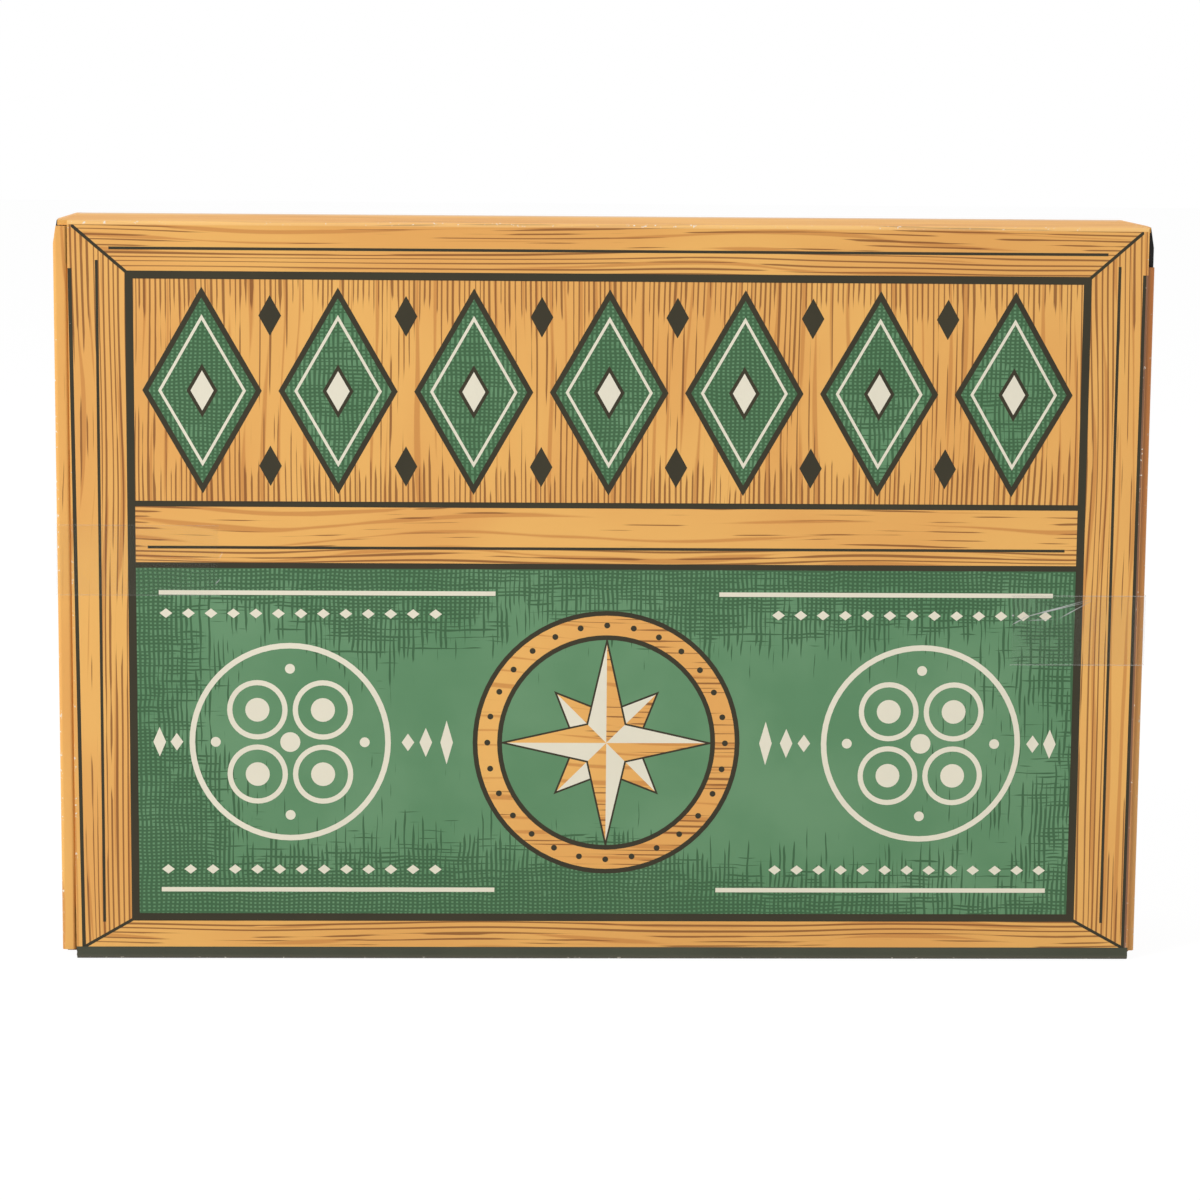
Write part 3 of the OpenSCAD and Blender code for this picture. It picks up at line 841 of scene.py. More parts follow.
def printBack(look):
    place = facePlace((0, backY, 0), (-1, 0, 0), (0, 0, 1), (0, 1, 0))
    foot, head = look["band"], cartonHeight - look["band"]
    half = cartonHalf - 1.2
    inks = faceInks("back", (0, 2), (0, cartonHeight / 2),
                    (half - look["plank"], (head - foot) / 2 - look["plank"]),
                    [fold for fold in cartonFolds if fold[0] != 1], ((-half, half), (foot, head)), 12.0)
    page = Page(place, inks)
    u0, v0, u1, v1 = drawFrame(page, -half, foot, half, head, look, topOpen=False)
    page.add("green", 2, rect(u0 - 0.3, v0 - 0.3, u1 + 0.3, v1 + 0.3))
    middle = (v0 + v1) / 2
    drawMedal(page, 0, middle, look["medal"])
    for sign in (-1, 1):
        drawRosette(page, sign * 84, middle, 24)
    inset = 6.0
    page.add("cream", 3, rect(u0 + inset, v0 + inset, u1 - inset, v1 - inset),
             rect(u0 + inset + 1.2, v0 + inset + 1.2, u1 - inset - 1.2, v1 - inset - 1.2))
    page.finish("backPrint", "carton")
    stampRing("backRingPips", "carton", place, inks["dark"], (0, middle), look["medal"] - 3.95)
    layers = lozengeLayers(12.0, 12.0, look, inks["dark"], inks["woodUp"], inks["dark"], inks["cream"])
    for tag, v in (("Foot", v0 + 24), ("Head", v1 - 24)):
        stampRow("backLozenges" + tag, "carton", place, layers, 6, (-100, v), (40, 0), (12.0, 12.0))


printSide("leftSide", -1, sideLook)
printSide("rightSide", 1, sideLook)
printBack(backLook)
print("carton's other faces printed")


# skins over the two creases

skinLook = {"proud": 0.01, "thick": 0.06, "steps": 8}


def arc(middle, radius, start, end, count):
    # angles in degrees from the Y axis towards the Z axis
    return [(middle[0] + radius * math.cos(math.radians(start + (end - start) * i / count)),
             middle[1] + radius * math.sin(math.radians(start + (end - start) * i / count)))
            for i in range(count + 1)]


def foldSkin(name, outer, inner, x0, x1, material):
    # a thin strip along X whose section is closed between an outer and an inner run of (y, z)
    section = outer + inner[::-1]
    count = 40
    mesh = bmesh.new()
    rings = [[mesh.verts.new(Vector((x0 + (x1 - x0) * i / count, y, z)) * mm) for y, z in section]
             for i in range(count + 1)]
    size = len(section)
    for near, far in zip(rings, rings[1:]):
        for i in range(size):
            mesh.faces.new((near[i], near[(i + 1) % size], far[(i + 1) % size], far[i]))
    mesh.faces.new(rings[0])
    mesh.faces.new(rings[-1])
    bmesh.ops.recalc_face_normals(mesh, faces=mesh.faces)
    data = bpy.data.meshes.new(name)
    mesh.to_mesh(data)
    mesh.free()
    made = finishMesh(name, data, [material], None)
    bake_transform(made)


def coverFolds(look):
    radius = 1.0 + look["proud"]
    hinge, crease = (frontY + 1.0, cartonHeight - 1.0), (frontY + 1.0, 1.0)
    wallEdge = span("hinge_wall")[0].y
    faceY = frontY - look["proud"]
    outer = [(faceY, cartonHeight - 1.9)] + arc(hinge, radius, 180, 90, look["steps"]) + \
        [(wallEdge + 0.5, cartonHeight + look["proud"])]
    inner = [(faceY + look["thick"], cartonHeight - 1.9)] + \
        arc(hinge, radius - look["thick"], 180, 90, look["steps"]) + \
        [(wallEdge + 0.5, cartonHeight + look["proud"] - look["thick"])]
    worn = inkMaterial("hingeFoldInk", foldWood, lidFolds, {"Roughness": 0.6, "Specular IOR Level": 0.08})
    foldSkin("hingeFold", outer, inner, lidLow.x + 0.2, lidHigh.x - 0.2,
             worn)
    outer = [(faceY, 2.9)] + arc(crease, radius, 180, 255, look["steps"])
    inner = [(faceY + look["thick"], 2.9)] + arc(crease, radius - look["thick"], 180, 255, look["steps"])
    dark = inkMaterial("flapFoldInk", foldDark, lidFolds)
    foldSkin("flapFold", outer, inner, lidLow.x + 0.2, lidHigh.x - 0.2,
             dark)


def foldWood(tree, point):
    # the wood print with a painted highlight along the crease
    place = parts(tree, point)
    paintedHighlight = step(tree, calc(tree, "ABSOLUTE", calc(tree, "SUBTRACT", place[2], cartonHeight - 0.5)), 1.2, 0.2)
    return tint(tree, calc(tree, "MULTIPLY", paintedHighlight, 0.4), woodInk(tree, point, 0, 1.0), ink["foldHighlight"])


def foldDark(tree, point):
    # the band's ink, dull, and paler where it turns under: a painted reflection of the floor
    turned = step(tree, parts(tree, point)[2], 1.6, 0.0)
    return tint(tree, calc(tree, "MULTIPLY", turned, 0.6), plainInk(ink["band"], 0.1)(tree, point), ink["bandReflection"])


coverFolds(skinLook)
print("creases covered")


# clear tape seals

tapeLook = {
    "thick": 0.03, "proud": 0.005,
    "corner": 0.8,             # bend at the carton's side
    "teeth": 0.45,             # height of the cut teeth at both ends
    "toothPitch": 0.95,
    "rim": 0.22,               # width of the paler edges
    "left": (0.018, 0.06, 0.2),      # how much film, rim and wrinkles hide; the wrinkles' whiteness is painted glare
    "right": (0.03, 0.14, 0.42),
}


def filmMaterial(name, colour, alpha, roughness):
    material, tree = blank(name)
    point = objectPoint(tree)
    ripple = noise(tree, stretched(tree, point, (0.05, 0.05, 0.12)), 3.0, 0.55)
    cloud = step(tree, noise(tree, stretched(tree, point, (0.12, 0.12, 0.12), (3, 0, 0)), 3.0, 0.6), 0.45, 0.75)
    opacity = calc(tree, "MULTIPLY_ADD", cloud, alpha * 0.5, alpha)
    surface(tree, colour, {"Roughness": roughness, "Alpha": opacity, "Specular IOR Level": 0.5},
            ripple, 0.3, 0.0006)
    return material


def ribbonPath(sign, faceLength, sideLength, look, proud):
    # points along the tape with their outward normals, from its end on the lid to its end on the side
    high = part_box("right_tape_seal")[1] / mm
    out, front = high.x - proud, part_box("right_tape_seal")[0].y / mm + proud
    radius = look["corner"]
    path = []
    for i in range(13):
        path.append((out - faceLength + (faceLength - radius) * i / 12, front, 0, -1))
    for i in range(1, 6):
        a = math.radians(-90 + 15 * i)
        path.append((out - radius + radius * math.cos(a), front + radius + radius * math.sin(a),
                     math.cos(a), math.sin(a)))
    for i in range(7):
        path.append((out, front + radius + (sideLength - radius) * i / 6, 1, 0))
    return [(sign * x, y, sign * nx, ny) for x, y, nx, ny in path]


def ribbon(mesh, path, rows, thick, index, teeth=0.0):
    # a closed film along the path, its two ends cut in teeth
    def shifted(k, j):
        x, y, nx, ny = path[k]
        bite = teeth * (j % 2)
        if k == 0:
            dx, dy = path[1][0] - x, path[1][1] - y
        elif k == len(path) - 1:
            dx, dy = path[-2][0] - x, path[-2][1] - y
        else:
            return x, y, nx, ny
        reach = math.hypot(dx, dy)
        return x + dx / reach * bite, y + dy / reach * bite, nx, ny
    skins = []
    for depth in (0.0, thick):
        skin = []
        for k in range(len(path)):
            line = []
            for j, z in enumerate(rows):
                x, y, nx, ny = shifted(k, j)
                line.append(mesh.verts.new(Vector((x - nx * depth, y - ny * depth, z)) * mm))
            skin.append(line)
        skins.append(skin)
    made = []
    outer, inner = skins
    last, top = len(path) - 1, len(rows) - 1
    for skin in skins:
        made += [mesh.faces.new((skin[k][j], skin[k + 1][j], skin[k + 1][j + 1], skin[k][j + 1]))
                 for k in range(last) for j in range(top)]
    for k in (0, last):
        made += [mesh.faces.new((outer[k][j], outer[k][j + 1], inner[k][j + 1], inner[k][j])) for j in range(top)]
    for j in (0, top):
        made += [mesh.faces.new((outer[k][j], outer[k + 1][j], inner[k + 1][j], inner[k][j])) for k in range(last)]
    for face in made:
        face.material_index = index
    bmesh.ops.recalc_face_normals(mesh, faces=made)


def streak(mesh, place, start, end, width, index):
    # a thin ridge, widest near its first third and pointed at both ends
    a, b = Vector(start), Vector(end)
    run = b - a
    side = Vector((-run.y, run.x)).normalized() * width / 2
    outline = [a, a + run * 0.35 - side, b, a + run * 0.35 + side]
    rims = [[mesh.verts.new(place @ Vector((p.x, p.y, h))) for p in outline] for h in (0.0, -0.02)]
    made = [mesh.faces.new(rims[0]), mesh.faces.new(rims[1])]
    made += [mesh.faces.new((rims[0][i], rims[0][(i + 1) % 4], rims[1][(i + 1) % 4], rims[1][i])) for i in range(4)]
    for face in made:
        face.material_index = index
    bmesh.ops.recalc_face_normals(mesh, faces=made)


wrinkles = {
    "left": [((-102.6, 109.6), (-101.7, 111.4), 0.4), ((-104.0, 102.4), (-102.2, 104.4), 0.25)],
    "right": [((112.0, 94.2), (131.6, 99.7), 0.34), ((113.5, 94.7), (131.2, 99.0), 0.26),
              ((122.4, 94.1), (131.5, 99.2), 0.26), ((113.8, 93.7), (122.2, 94.1), 0.16),
              ((109.9, 92.5), (113.9, 94.7), 0.3), ((109.9, 94.9), (110.6, 95.2), 0.5)],
}


def makeTape(side, sign, look):
    node = side + "_tape_seal"
    low, high = span(node)
    faceLength = high.x - low.x - 0.1
    count = round((high.z - low.z) / (look["toothPitch"] / 2))
    rows = [low.z + (high.z - low.z) * j / count for j in range(count + 1)]
    mesh = bmesh.new()
    path = ribbonPath(sign, faceLength, high.y - low.y - 0.1, look, 0.0)
    ribbon(mesh, path, rows, look["thick"], 0, look["teeth"])
    rimPath = ribbonPath(sign, faceLength, high.y - low.y - 0.1, look, look["thick"] + look["proud"])
    for z0, z1 in ((low.z, low.z + look["rim"]), (high.z - look["rim"], high.z)):
        ribbon(mesh, rimPath, [z0, z1], look["thick"] * 0.6, 1)
    front = facePlace((0, low.y + look["thick"] + look["proud"], 0), (1, 0, 0), (0, 0, 1), (0, -1, 0))
    for start, end, width in wrinkles[side]:
        streak(mesh, front, start, end, width, 2)
    data = bpy.data.meshes.new(side + "Tape")
    mesh.to_mesh(data)
    mesh.free()
    tape = finishMesh(side + "Tape", data, makeFilms(side, *look[side]), "lid", smooth=False)
    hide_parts(node)


def makeFilms(side, clear, rim, wrinkleGlare):
    return [filmMaterial(side + "ClearFilm", (0.30, 0.32, 0.28, 1), clear, 0.16),
            filmMaterial(side + "FilmEdge", (0.9, 0.92, 0.88, 1), rim, 0.3),
            # the wrinkles are real ridges, and their whiteness is painted glare
            filmMaterial(side + "FilmWrinkleGlare", (0.93, 0.94, 0.93, 1), wrinkleGlare, 0.3)]


makeTape("left", -1, tapeLook)
makeTape("right", 1, tapeLook)
print("tape seals made")


# the wooden game

timberLook = {
    "pale": linear(226, 189, 138),
    "deep": linear(192, 144, 91),
    "pore": linear(150, 104, 62),
    "tilePale": linear(236, 205, 158),
    "tileDeep": linear(209, 166, 112),
    "plyPale": linear(214, 178, 128),
    "plyDeep": linear(150, 112, 72),
    "gloss": 0.34,
}


def timber(name, axis, seed, pale, deep, ring=5.0):
    # lacquered softwood whose growth rings run along an axis
    material, tree = blank(name)
    point = objectPoint(tree)
    shift = (seed * 4.1, seed * 2.9, seed * 3.7)
    field = noise(tree, stretched(tree, point, along(axis, 0.05, 0.0045), shift), 2.0, 0.5, 0.3)
    cell = calc(tree, "FRACT", calc(tree, "MULTIPLY", field, ring * 4))
    band = both(tree, step(tree, cell, 0.0, 0.75), step(tree, cell, 1.0, 0.82))
    fibre = noise(tree, stretched(tree, point, along(axis, 1.6, 0.03), shift), 3.0, 0.6)
    pores = step(tree, fibre, 0.60, 0.72)
    cloud = noise(tree, stretched(tree, point, along(axis, 0.02, 0.008), shift), 2.0)
    mixed = calc(tree, "MULTIPLY_ADD", band, 0.6, calc(tree, "MULTIPLY", cloud, 0.35))
    toned = tint(tree, mixed, pale, deep)
    whole = tint(tree, calc(tree, "MULTIPLY", pores, 0.35), toned, timberLook["pore"])
    height = calc(tree, "MULTIPLY_ADD", band, 0.5, fibre)
    surface(tree, whole, {"Roughness": timberLook["gloss"], "Specular IOR Level": 0.5, "Coat Weight": 0.25,
            "Coat Roughness": 0.2}, height, 0.25, 0.0002)
    return material


def plyMaterial(name):
    # face veneer across the sheet, and plies that show at its edges
    material, tree = blank(name)
    point = objectPoint(tree)
    place = parts(tree, point)
    low, high = span("base_board")
    ply = calc(tree, "FRACT", calc(tree, "MULTIPLY", calc(tree, "SUBTRACT", place[1], low.y), 1.5 / (high.y - low.y)))
    layer = step(tree, ply, 0.48, 0.52)
    fibre = noise(tree, stretched(tree, point, along(0, 1.2, 0.02)), 3.0, 0.6)
    field = noise(tree, stretched(tree, point, along(0, 0.03, 0.004)), 2.0, 0.5, 0.4)
    band = step(tree, calc(tree, "FRACT", calc(tree, "MULTIPLY", field, 16.0)), 0.2, 0.9)
    mixed = calc(tree, "MULTIPLY_ADD", band, 0.35, calc(tree, "MULTIPLY", layer, 0.45))
    toned = tint(tree, mixed, timberLook["plyPale"], timberLook["plyDeep"])
    whole = tint(tree, calc(tree, "MULTIPLY", step(tree, fibre, 0.58, 0.7), 0.3), toned, timberLook["pore"])
    surface(tree, whole, {"Roughness": 0.55, "Specular IOR Level": 0.4}, fibre, 0.3, 0.0002)
    return material


for index, (node, axis) in enumerate((("back_rail", 0), ("front_rail", 0), ("left_rail", 2), ("right_rail", 2),
                                      ("divider_bar", 0))):
    dress(node, timber(node + "Wood", axis, 1.0 + index, timberLook["pale"], timberLook["deep"]))
dress("base_board", plyMaterial("basePly"))


def steelMaterial(name, roughness):
    material, tree = blank(name)
    point = objectPoint(tree)
    turned = noise(tree, stretched(tree, point, (2.4, 0.2, 0.2)), 3.0, 0.6)
    colour = tint(tree, turned, linear(200, 201, 203), linear(168, 170, 174))
    surface(tree, colour, {"Metallic": 1.0, "Roughness": roughness}, turned, 0.1, 0.00005)
    return material


dress("tile_rod", steelMaterial("rodSteel", 0.28))
dress("corner_brads", steelMaterial("bradSteel", 0.4))


feltLook = {
    "low": linear(26, 92, 58),
    "high": linear(58, 132, 88),
    "fibres": 5200,            # loose fibres on the larger felt
    "length": 0.55,
    "radius": 0.035,
}


def feltMaterial(name):
    material, tree = blank(name)
    point = objectPoint(tree)
    nap = noise(tree, stretched(tree, point, (1.6, 1.6, 1.6)), 5.0, 0.7)
    lay = noise(tree, stretched(tree, point, (0.05, 0.05, 0.05), (6, 0, 0)), 3.0)
    mixed = calc(tree, "MULTIPLY_ADD", nap, 0.75, calc(tree, "MULTIPLY", lay, 0.35))
    colour = tint(tree, step(tree, mixed, 0.3, 0.8), feltLook["low"], feltLook["high"])
    surface(tree, colour, {"Roughness": 0.95, "Specular IOR Level": 0.1, "Sheen Weight": 0.4,
            "Sheen Roughness": 0.5}, nap, 0.8, 0.0004)
    return material


felt = feltMaterial("greenFelt")
dress("tile_felt", felt)
dress("dice_felt", felt)


def fibreTree(name, material, look):
    # short loose fibres scattered over a flat field
    tree, given = nodeTree(name, (("Width", "Float", 100.0), ("Height", "Float", 100.0), ("Fibres", "Int", 1000),
                                  ("Seed", "Int", 1)))
    field = put(tree, "GeometryNodeMeshGrid", {"Size X": given["Width"], "Size Y": given["Height"],
                "Vertices X": 2, "Vertices Y": 2}).outputs["Mesh"]
    area = calc(tree, "MULTIPLY", given["Width"], given["Height"])
    spots = put(tree, "GeometryNodeDistributePointsOnFaces", {"Mesh": field, "Seed": given["Seed"],
                "Density": calc(tree, "DIVIDE", given["Fibres"], area)}).outputs["Points"]
    turn = put(tree, "FunctionNodeRandomValue", {0: (-1.25, -1.25, 0), 1: (1.25, 1.25, 6.283)},
               data_type="FLOAT_VECTOR").outputs[0]
    fibre = put(tree, "GeometryNodeMeshCone", {"Vertices": 3, "Radius Top": look["radius"] * 0.4,
                "Radius Bottom": look["radius"], "Depth": look["length"]}).outputs["Mesh"]
    placed = put(tree, "GeometryNodeInstanceOnPoints", {"Points": spots, "Instance": fibre,
                 "Rotation": turn}).outputs[0]
    real = put(tree, "GeometryNodeRealizeInstances", {0: placed}).outputs[0]
    inked = put(tree, "GeometryNodeSetMaterial", {"Geometry": real, "Material": material}).outputs[0]
    put(tree, "NodeGroupOutput", {0: inked})
    return tree


def nap(look):
    tree = fibreTree("feltFibres", felt, look)
    whole = span("dice_felt")[1] - span("dice_felt")[0]
    for seed, node in enumerate(("dice_felt", "tile_felt")):
        low, high = span(node)
        size = high - low
        count = round(look["fibres"] * size.x * size.z / (whole.x * whole.z))
        place = facePlace(((low.x + high.x) / 2, low.y, (low.z + high.z) / 2), (1, 0, 0), (0, 0, 1), (0, -1, 0))
        fibres = meshBy(tree, node + "Nap", {"Width": size.x - 1, "Height": size.z - 1, "Fibres": count,
                        "Seed": seed}, place)
        finishMesh(node + "Nap", fibres, [], "game")


nap(feltLook)
print("tray dressed")


# tiles with their numbers

tileLook = {
    "edge": 0.9,               # rounding of the long edges
    "freeCorner": 2.0,
    "tailCorner": 1.2,
    "numberHeight": 17.0,
    "numberPlace": 0.60,       # share of the tile's length from its tail
    "numberRise": 0.05,
}


def softSlab(mesh, place, outline, low, high, edge, index, steps=4):
    # a closed slab of a convex outline whose upper and lower edges are round
    rings = []
    for i in range(steps + 1):
        a = math.pi / 2 * i / steps
        rings.append((edge * (1 - math.sin(a)), low + edge * (1 - math.cos(a))))
    rings += [(inset, high + low - h) for inset, h in reversed(rings)]
    loops = [[mesh.verts.new(place @ Vector((u, v, h))) for u, v in shrunk(outline, inset)] for inset, h in rings]
    count = len(outline)
    made = [mesh.faces.new((near[i], near[(i + 1) % count], far[(i + 1) % count], far[i]))
            for near, far in zip(loops, loops[1:]) for i in range(count)]
    made += [mesh.faces.new(loops[0]), mesh.faces.new(loops[-1])]
    for face in made:
        face.material_index = index
    bmesh.ops.recalc_face_normals(mesh, faces=made)


def carve(body, cutter):
    # cuts one mesh out of another and leaves a plain mesh
    modifier = body.modifiers.new("carve", "BOOLEAN")
    modifier.operation, modifier.solver, modifier.object = "DIFFERENCE", "EXACT", cutter
    mesh = bpy.data.meshes.new_from_object(body.evaluated_get(bpy.context.evaluated_depsgraph_get()))
    body.modifiers.clear()
    body.data = mesh
    bpy.data.objects.remove(cutter)


def shadeRounded(mesh, index=0):
    # faces that lie square to an axis stay flat, rounded ones of this material are smooth
    for face in mesh.polygons:
        face.use_smooth = face.material_index == index and max(abs(c) for c in face.normal) < 0.9995


def numberMesh(text, height, thick):
    # a plain numeral in millimetres, its middle at the origin
    curve = bpy.data.curves.new("number" + text, "FONT")
    curve.body, curve.size, curve.extrude, curve.offset = text, 10.0, thick / 2, 0.12
    curve.resolution_u = 6
    holder = bpy.data.objects.new("number" + text, curve)
    bpy.context.scene.collection.objects.link(holder)
    mesh = bpy.data.meshes.new_from_object(holder.evaluated_get(bpy.context.evaluated_depsgraph_get()))
    bpy.data.objects.remove(holder)
    xs, ys = ([v.co[a] for v in mesh.vertices] for a in (0, 1))
    scale = height / (max(ys) - min(ys))
    middle = Vector(((max(xs) + min(xs)) / 2, (max(ys) + min(ys)) / 2, 0))
    mesh.transform(Matrix.Diagonal((scale, scale, 1, 1)) @ Matrix.Translation(-middle))
    return mesh


def numberInk():
    material, tree = blank("numberInk")
    point = objectPoint(tree)
    worn = noise(tree, stretched(tree, point, (0.7, 0.7, 0.7)), 4.0, 0.7)
    colour = tint(tree, step(tree, worn, 0.35, 0.75), linear(34, 30, 26), linear(62, 54, 46))
    surface(tree, colour, {"Roughness": 0.42, "Specular IOR Level": 0.4}, worn, 0.2, 0.0001)
    return material


def makeTile(n, numbers, look):
    node = "tile_" + str(n)
    low, high = span(node)
    middle = (low.x + high.x) / 2
    rodLow, rodHigh = span("tile_rod")
    half = (high.x - low.x) / 2
    place = facePlace((middle, high.y, 0), (1, 0, 0), (0, 0, -1), (0, 1, 0))    # seen from the number's side
    outline = roundRect(-half, -high.z, half, -low.z,
                        (look["tailCorner"], look["tailCorner"], look["freeCorner"], look["freeCorner"]))
    mesh = bmesh.new()
    softSlab(mesh, place, outline, low.y - high.y, 0.0, look["edge"], 0)
    data = bpy.data.meshes.new(node + "Wood")
    mesh.to_mesh(data)
    mesh.free()
    wood = timber(node + "Timber", 2, 20.0 + n, timberLook["tilePale"], timberLook["tileDeep"], 4.0)
    tile = bpy.data.objects.new(node + "Wood", data)
    for material in (wood, numbers):
        data.materials.append(material)
    bpy.context.scene.collection.objects.link(tile)
    bore = bmesh.new()
    radius = (rodHigh.z - rodLow.z) / 2 + 0.08
    centre = Vector((middle, (rodLow.y + rodHigh.y) / 2, (rodLow.z + rodHigh.z) / 2))
    bmesh.ops.create_cone(bore, cap_ends=True, segments=40, radius1=radius * mm, radius2=radius * mm,
                          depth=(2 * half + 4) * mm,
                          matrix=Matrix.Translation(centre * mm) @ Matrix.Rotation(math.pi / 2, 4, "Y"))
    cutterMesh = bpy.data.meshes.new(node + "Bore")
    bore.to_mesh(cutterMesh)
    bore.free()
    cutterMesh.materials.append(wood)
    cutter = bpy.data.objects.new(node + "Bore", cutterMesh)
    bpy.context.scene.collection.objects.link(cutter)
    carve(tile, cutter)
    numeral = numberMesh(str(n), look["numberHeight"], 2 * look["numberRise"])
    spot = (0, -high.z + (high.z - low.z) * look["numberPlace"], 0)
    numeral.transform(place @ Matrix.Translation(spot))
    joined = bmesh.new()
    joined.from_mesh(tile.data)
    joined.faces.ensure_lookup_table()
    before = len(joined.faces)
    joined.from_mesh(numeral)
    joined.faces.ensure_lookup_table()
    for face in joined.faces[before:]:
        face.material_index = 1
    joined.to_mesh(tile.data)
    joined.free()
    shadeRounded(tile.data)
    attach(tile, node)
    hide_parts(node)


numbers = numberInk()
for n in range(1, 10):
    makeTile(n, numbers, tileLook)
print("tiles made")


# dice

dieLook = {
    "edge": 1.9, "segments": 4,
    "pip": 1.75,               # radius of the ball that drills a pip
    "sink": 0.75,              # share of that radius the ball's middle lies outside the face
    "spread": 4.1,
}

pipSpots = {
    1: [(0, 0)],
    2: [(-1, -1), (1, 1)],
    3: [(-1, -1), (0, 0), (1, 1)],
    4: [(-1, -1), (-1, 1), (1, -1), (1, 1)],
    5: [(-1, -1), (-1, 1), (0, 0), (1, -1), (1, 1)],
    6: [(-1, -1), (-1, 0), (-1, 1), (1, -1), (1, 0), (1, 1)],
}


def ivoryMaterial():
    material, tree = blank("ivoryPlastic")
    point = objectPoint(tree)
    cloud = noise(tree, stretched(tree, point, (0.12, 0.12, 0.12)), 3.0)
    colour = tint(tree, step(tree, cloud, 0.3, 0.7), linear(243, 238, 222), linear(234, 226, 204))
    scuff = noise(tree, stretched(tree, point, (0.7, 0.7, 0.7)), 4.0, 0.7)
    surface(tree, colour, {"Roughness": 0.26, "Specular IOR Level": 0.5, "Subsurface Weight": 0.1,
            "Subsurface Scale": 0.002}, scuff, 0.06, 0.0001)
    return material


def pipMaterial():
    material, tree = blank("pipPaint")
    point = objectPoint(tree)
    grain = noise(tree, stretched(tree, point, (1.2, 1.2, 1.2)), 3.0)
    colour = tint(tree, grain, linear(22, 22, 24), linear(40, 40, 42))
    surface(tree, colour, {"Roughness": 0.35}, grain, 0.1, 0.0001)
    return material


def makeDie(node, faces, ivory, pips, look):
    # faces lists each face's outward direction and its count
    low, high = span(node)
    centre, size = (low + high) / 2, high.x - low.x
    mesh = bmesh.new()
    bmesh.ops.create_cube(mesh, size=size * mm, matrix=Matrix.Translation(centre * mm))
    bmesh.ops.bevel(mesh, geom=mesh.edges[:] + mesh.verts[:], offset=look["edge"] * mm, offset_type="OFFSET",
                    segments=look["segments"], profile=0.5, affect="EDGES")
    data = bpy.data.meshes.new(node + "Body")
    mesh.to_mesh(data)
    mesh.free()
    die = bpy.data.objects.new(node + "Body", data)
    bpy.context.scene.collection.objects.link(die)
    drills = bmesh.new()
    for outward, count in faces:
        out = Vector(outward)
        first = Vector((out.y, out.z, out.x))
        second = out.cross(first)
        for a, b in pipSpots[count]:
            spot = centre + out * (size / 2 + look["pip"] * look["sink"] - 0.35)
            spot = spot + (first * a + second * b) * look["spread"]
            bmesh.ops.create_uvsphere(drills, u_segments=20, v_segments=12, radius=look["pip"] * mm,
                                      matrix=Matrix.Translation(spot * mm))
    for face in drills.faces:
        face.material_index = 1
    drillMesh = bpy.data.meshes.new(node + "Drills")
    drills.to_mesh(drillMesh)
    drills.free()
    for mesh in (data, drillMesh):
        mesh.materials.append(ivory)
        mesh.materials.append(pips)
    cutter = bpy.data.objects.new(node + "Drills", drillMesh)
    bpy.context.scene.collection.objects.link(cutter)
    carve(die, cutter)
    shadeRounded(die.data)
    for face in die.data.polygons:
        face.use_smooth = face.use_smooth or face.material_index == 1
    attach(die, node)
    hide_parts(node)


ivory, pips = ivoryMaterial(), pipMaterial()
makeDie("left_die", [((0, -1, 0), 5), ((0, 1, 0), 2), ((1, 0, 0), 4), ((-1, 0, 0), 3), ((0, 0, 1), 6), ((0, 0, -1), 1)],
        ivory, pips, dieLook)
makeDie("right_die", [((0, -1, 0), 3), ((0, 1, 0), 4), ((1, 0, 0), 1), ((-1, 0, 0), 6), ((0, 0, 1), 2), ((0, 0, -1), 5)],
        ivory, pips, dieLook)
print("dice made")


# leaflet, folded twice

leafletLook = {"sheets": 4, "paper": 0.11, "slack": 0.035}


def paperMaterial():
    material, tree = blank("leafletPaper")
    point = objectPoint(tree)
    place = parts(tree, point)
    fibre = noise(tree, stretched(tree, point, (0.5, 0.5, 0.5)), 5.0, 0.7)
    low, high = span("leaflet")
    # painted shade: the paper is darker along a line across its middle, as in a crease
    crease = step(tree, calc(tree, "ABSOLUTE", calc(tree, "SUBTRACT", place[2], (low.z + high.z) / 2)), 1.2, 0.2)
    base = tint(tree, step(tree, fibre, 0.3, 0.7), linear(246, 244, 238), linear(232, 228, 218))
    colour = tint(tree, calc(tree, "MULTIPLY", crease, 0.25), base, linear(206, 200, 188))
    surface(tree, colour, {"Roughness": 0.8, "Specular IOR Level": 0.2}, fibre, 0.2, 0.0002)
    return material


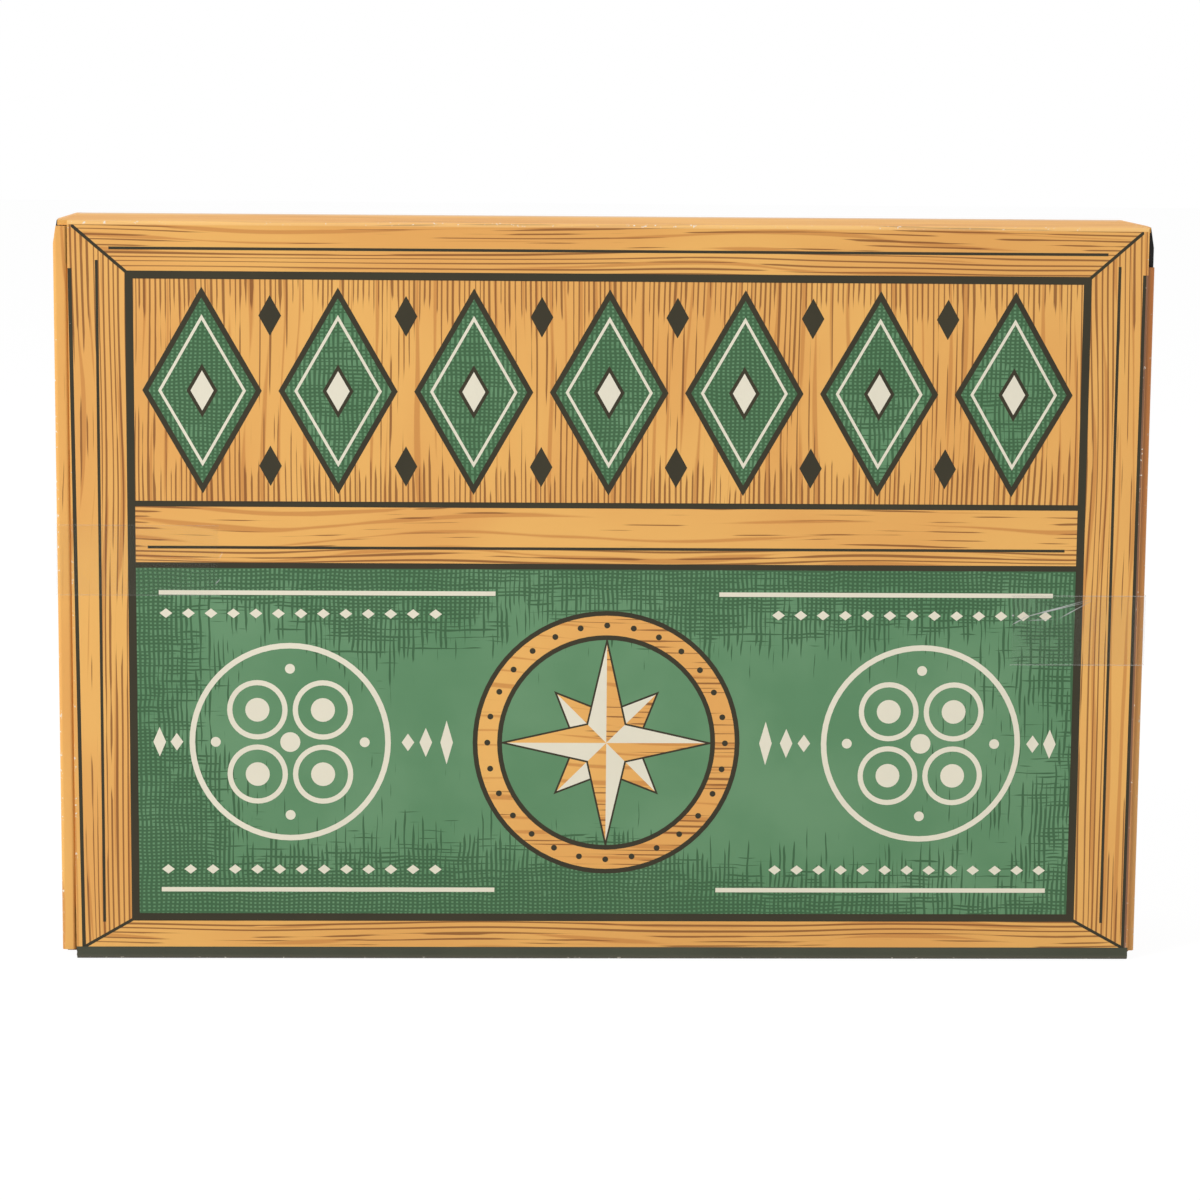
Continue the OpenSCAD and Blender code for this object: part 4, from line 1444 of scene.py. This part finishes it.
def makeLeaflet(look):
    # sheets that turn back on themselves in round folds along the lower and the upper edge
    low, high = span("leaflet")
    step0 = (high.y - low.y - look["paper"]) / (look["sheets"] - 1)
    run = []
    for i in range(look["sheets"]):
        y = low.y + look["paper"] / 2 + step0 * i
        foot, head = low.z + step0, high.z - step0
        ends = (foot, head) if i % 2 == 0 else (head, foot)
        run += [(y, ends[0] + (ends[1] - ends[0]) * k / 10) for k in range(11)]
        if i < look["sheets"] - 1:
            turn = 1 if i % 2 == 0 else -1
            run += [(y + step0 / 2 - step0 / 2 * math.cos(math.pi * k / 6),
                     ends[1] + turn * step0 / 2 * math.sin(math.pi * k / 6)) for k in range(1, 6)]
    left, right = [], []
    for k, (y, z) in enumerate(run):
        before, after = run[max(k - 1, 0)], run[min(k + 1, len(run) - 1)]
        d = Vector((after[0] - before[0], after[1] - before[1])).normalized() * look["paper"] / 2
        left.append((y - d.y, z + d.x))
        right.append((y + d.y, z - d.x))
    section = left + right[::-1]
    mesh = bmesh.new()
    rims = [[mesh.verts.new(Vector((x, y, z)) * mm) for y, z in section] for x in (low.x, high.x)]
    count, half = len(section), len(left)
    for i in range(count):
        mesh.faces.new((rims[0][i], rims[0][(i + 1) % count], rims[1][(i + 1) % count], rims[1][i]))
    for rim in rims:
        for k in range(half - 1):
            mesh.faces.new((rim[k], rim[k + 1], rim[count - 2 - k], rim[count - 1 - k]))
    bmesh.ops.recalc_face_normals(mesh, faces=mesh.faces)
    data = bpy.data.meshes.new("leafletSheet")
    mesh.to_mesh(data)
    mesh.free()
    sheet = finishMesh("leafletSheet", data, [paperMaterial()], "leaflet")
    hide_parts("leaflet")


makeLeaflet(leafletLook)
print("leaflet made")


# lamps, floor and backdrop

lampLook = {
    "keyPower": 92.0, "keySize": 0.9, "keyAt": (-2.5, -2.1, 1.9),
    "topPower": 5.0, "topSize": 1.0, "topAt": (0.0, 0.35, 1.5),
    "worldLight": 0.4,
    "floorGlow": 0.9,          # share of the floor that shines white by itself
}


def lamp(name, power, size, at, aim):
    data = bpy.data.lights.new(name, "AREA")
    data.energy, data.size = power, size
    holder = bpy.data.objects.new(name, data)
    holder.location = at
    holder.rotation_euler = (Vector(aim) - Vector(at)).to_track_quat("-Z", "Y").to_euler()
    bpy.context.scene.collection.objects.link(holder)


def seenBackground(tree):
    path = put(tree, "ShaderNodeLightPath").outputs
    return either(tree, path["Is Camera Ray"], path["Is Glossy Ray"], path["Is Transmission Ray"])


def makeStage(look):
    lamp("keyLamp", look["keyPower"], look["keySize"], look["keyAt"], (0, 0, 0.1))
    lamp("topLamp", look["topPower"], look["topSize"], look["topAt"], (0, 0, 0.1))
    world = bpy.data.worlds.new("studio")
    world.use_nodes = True
    bpy.context.scene.world = world
    tree = world.node_tree
    tree.nodes.clear()
    strength = put(tree, "ShaderNodeMix", {0: seenBackground(tree), 2: look["worldLight"], 3: 1.0})
    glow = put(tree, "ShaderNodeBackground", {"Color": (1, 1, 1, 1), "Strength": strength.outputs[0]})
    put(tree, "ShaderNodeOutputWorld", {"Surface": glow.outputs[0]})
    material, tree = blank("floorWhite")
    lit = put(tree, "ShaderNodeBsdfDiffuse", {"Color": (0.8, 0.8, 0.8, 1)})
    pale = put(tree, "ShaderNodeEmission", {"Color": (1, 1, 1, 1), "Strength": 1.06})
    share = calc(tree, "MULTIPLY", seenBackground(tree), look["floorGlow"])
    mixed = put(tree, "ShaderNodeMixShader", {0: share, 1: lit.outputs[0], 2: pale.outputs[0]})
    put(tree, "ShaderNodeOutputMaterial", {"Surface": mixed.outputs[0]})
    mesh = bpy.data.meshes.new("floor")
    reach, lowest = 6.0, -0.0001
    mesh.from_pydata([(-reach, -reach, lowest), (reach, -reach, lowest), (reach, reach, lowest),
                      (-reach, reach, lowest)], [], [(0, 1, 2, 3)])
    mesh.materials.append(material)
    floor = bpy.data.objects.new("floor", mesh)
    bpy.context.scene.collection.objects.link(floor)


makeStage(lampLook)
bpy.context.scene.view_settings.view_transform = "Standard"
print("stage lit")
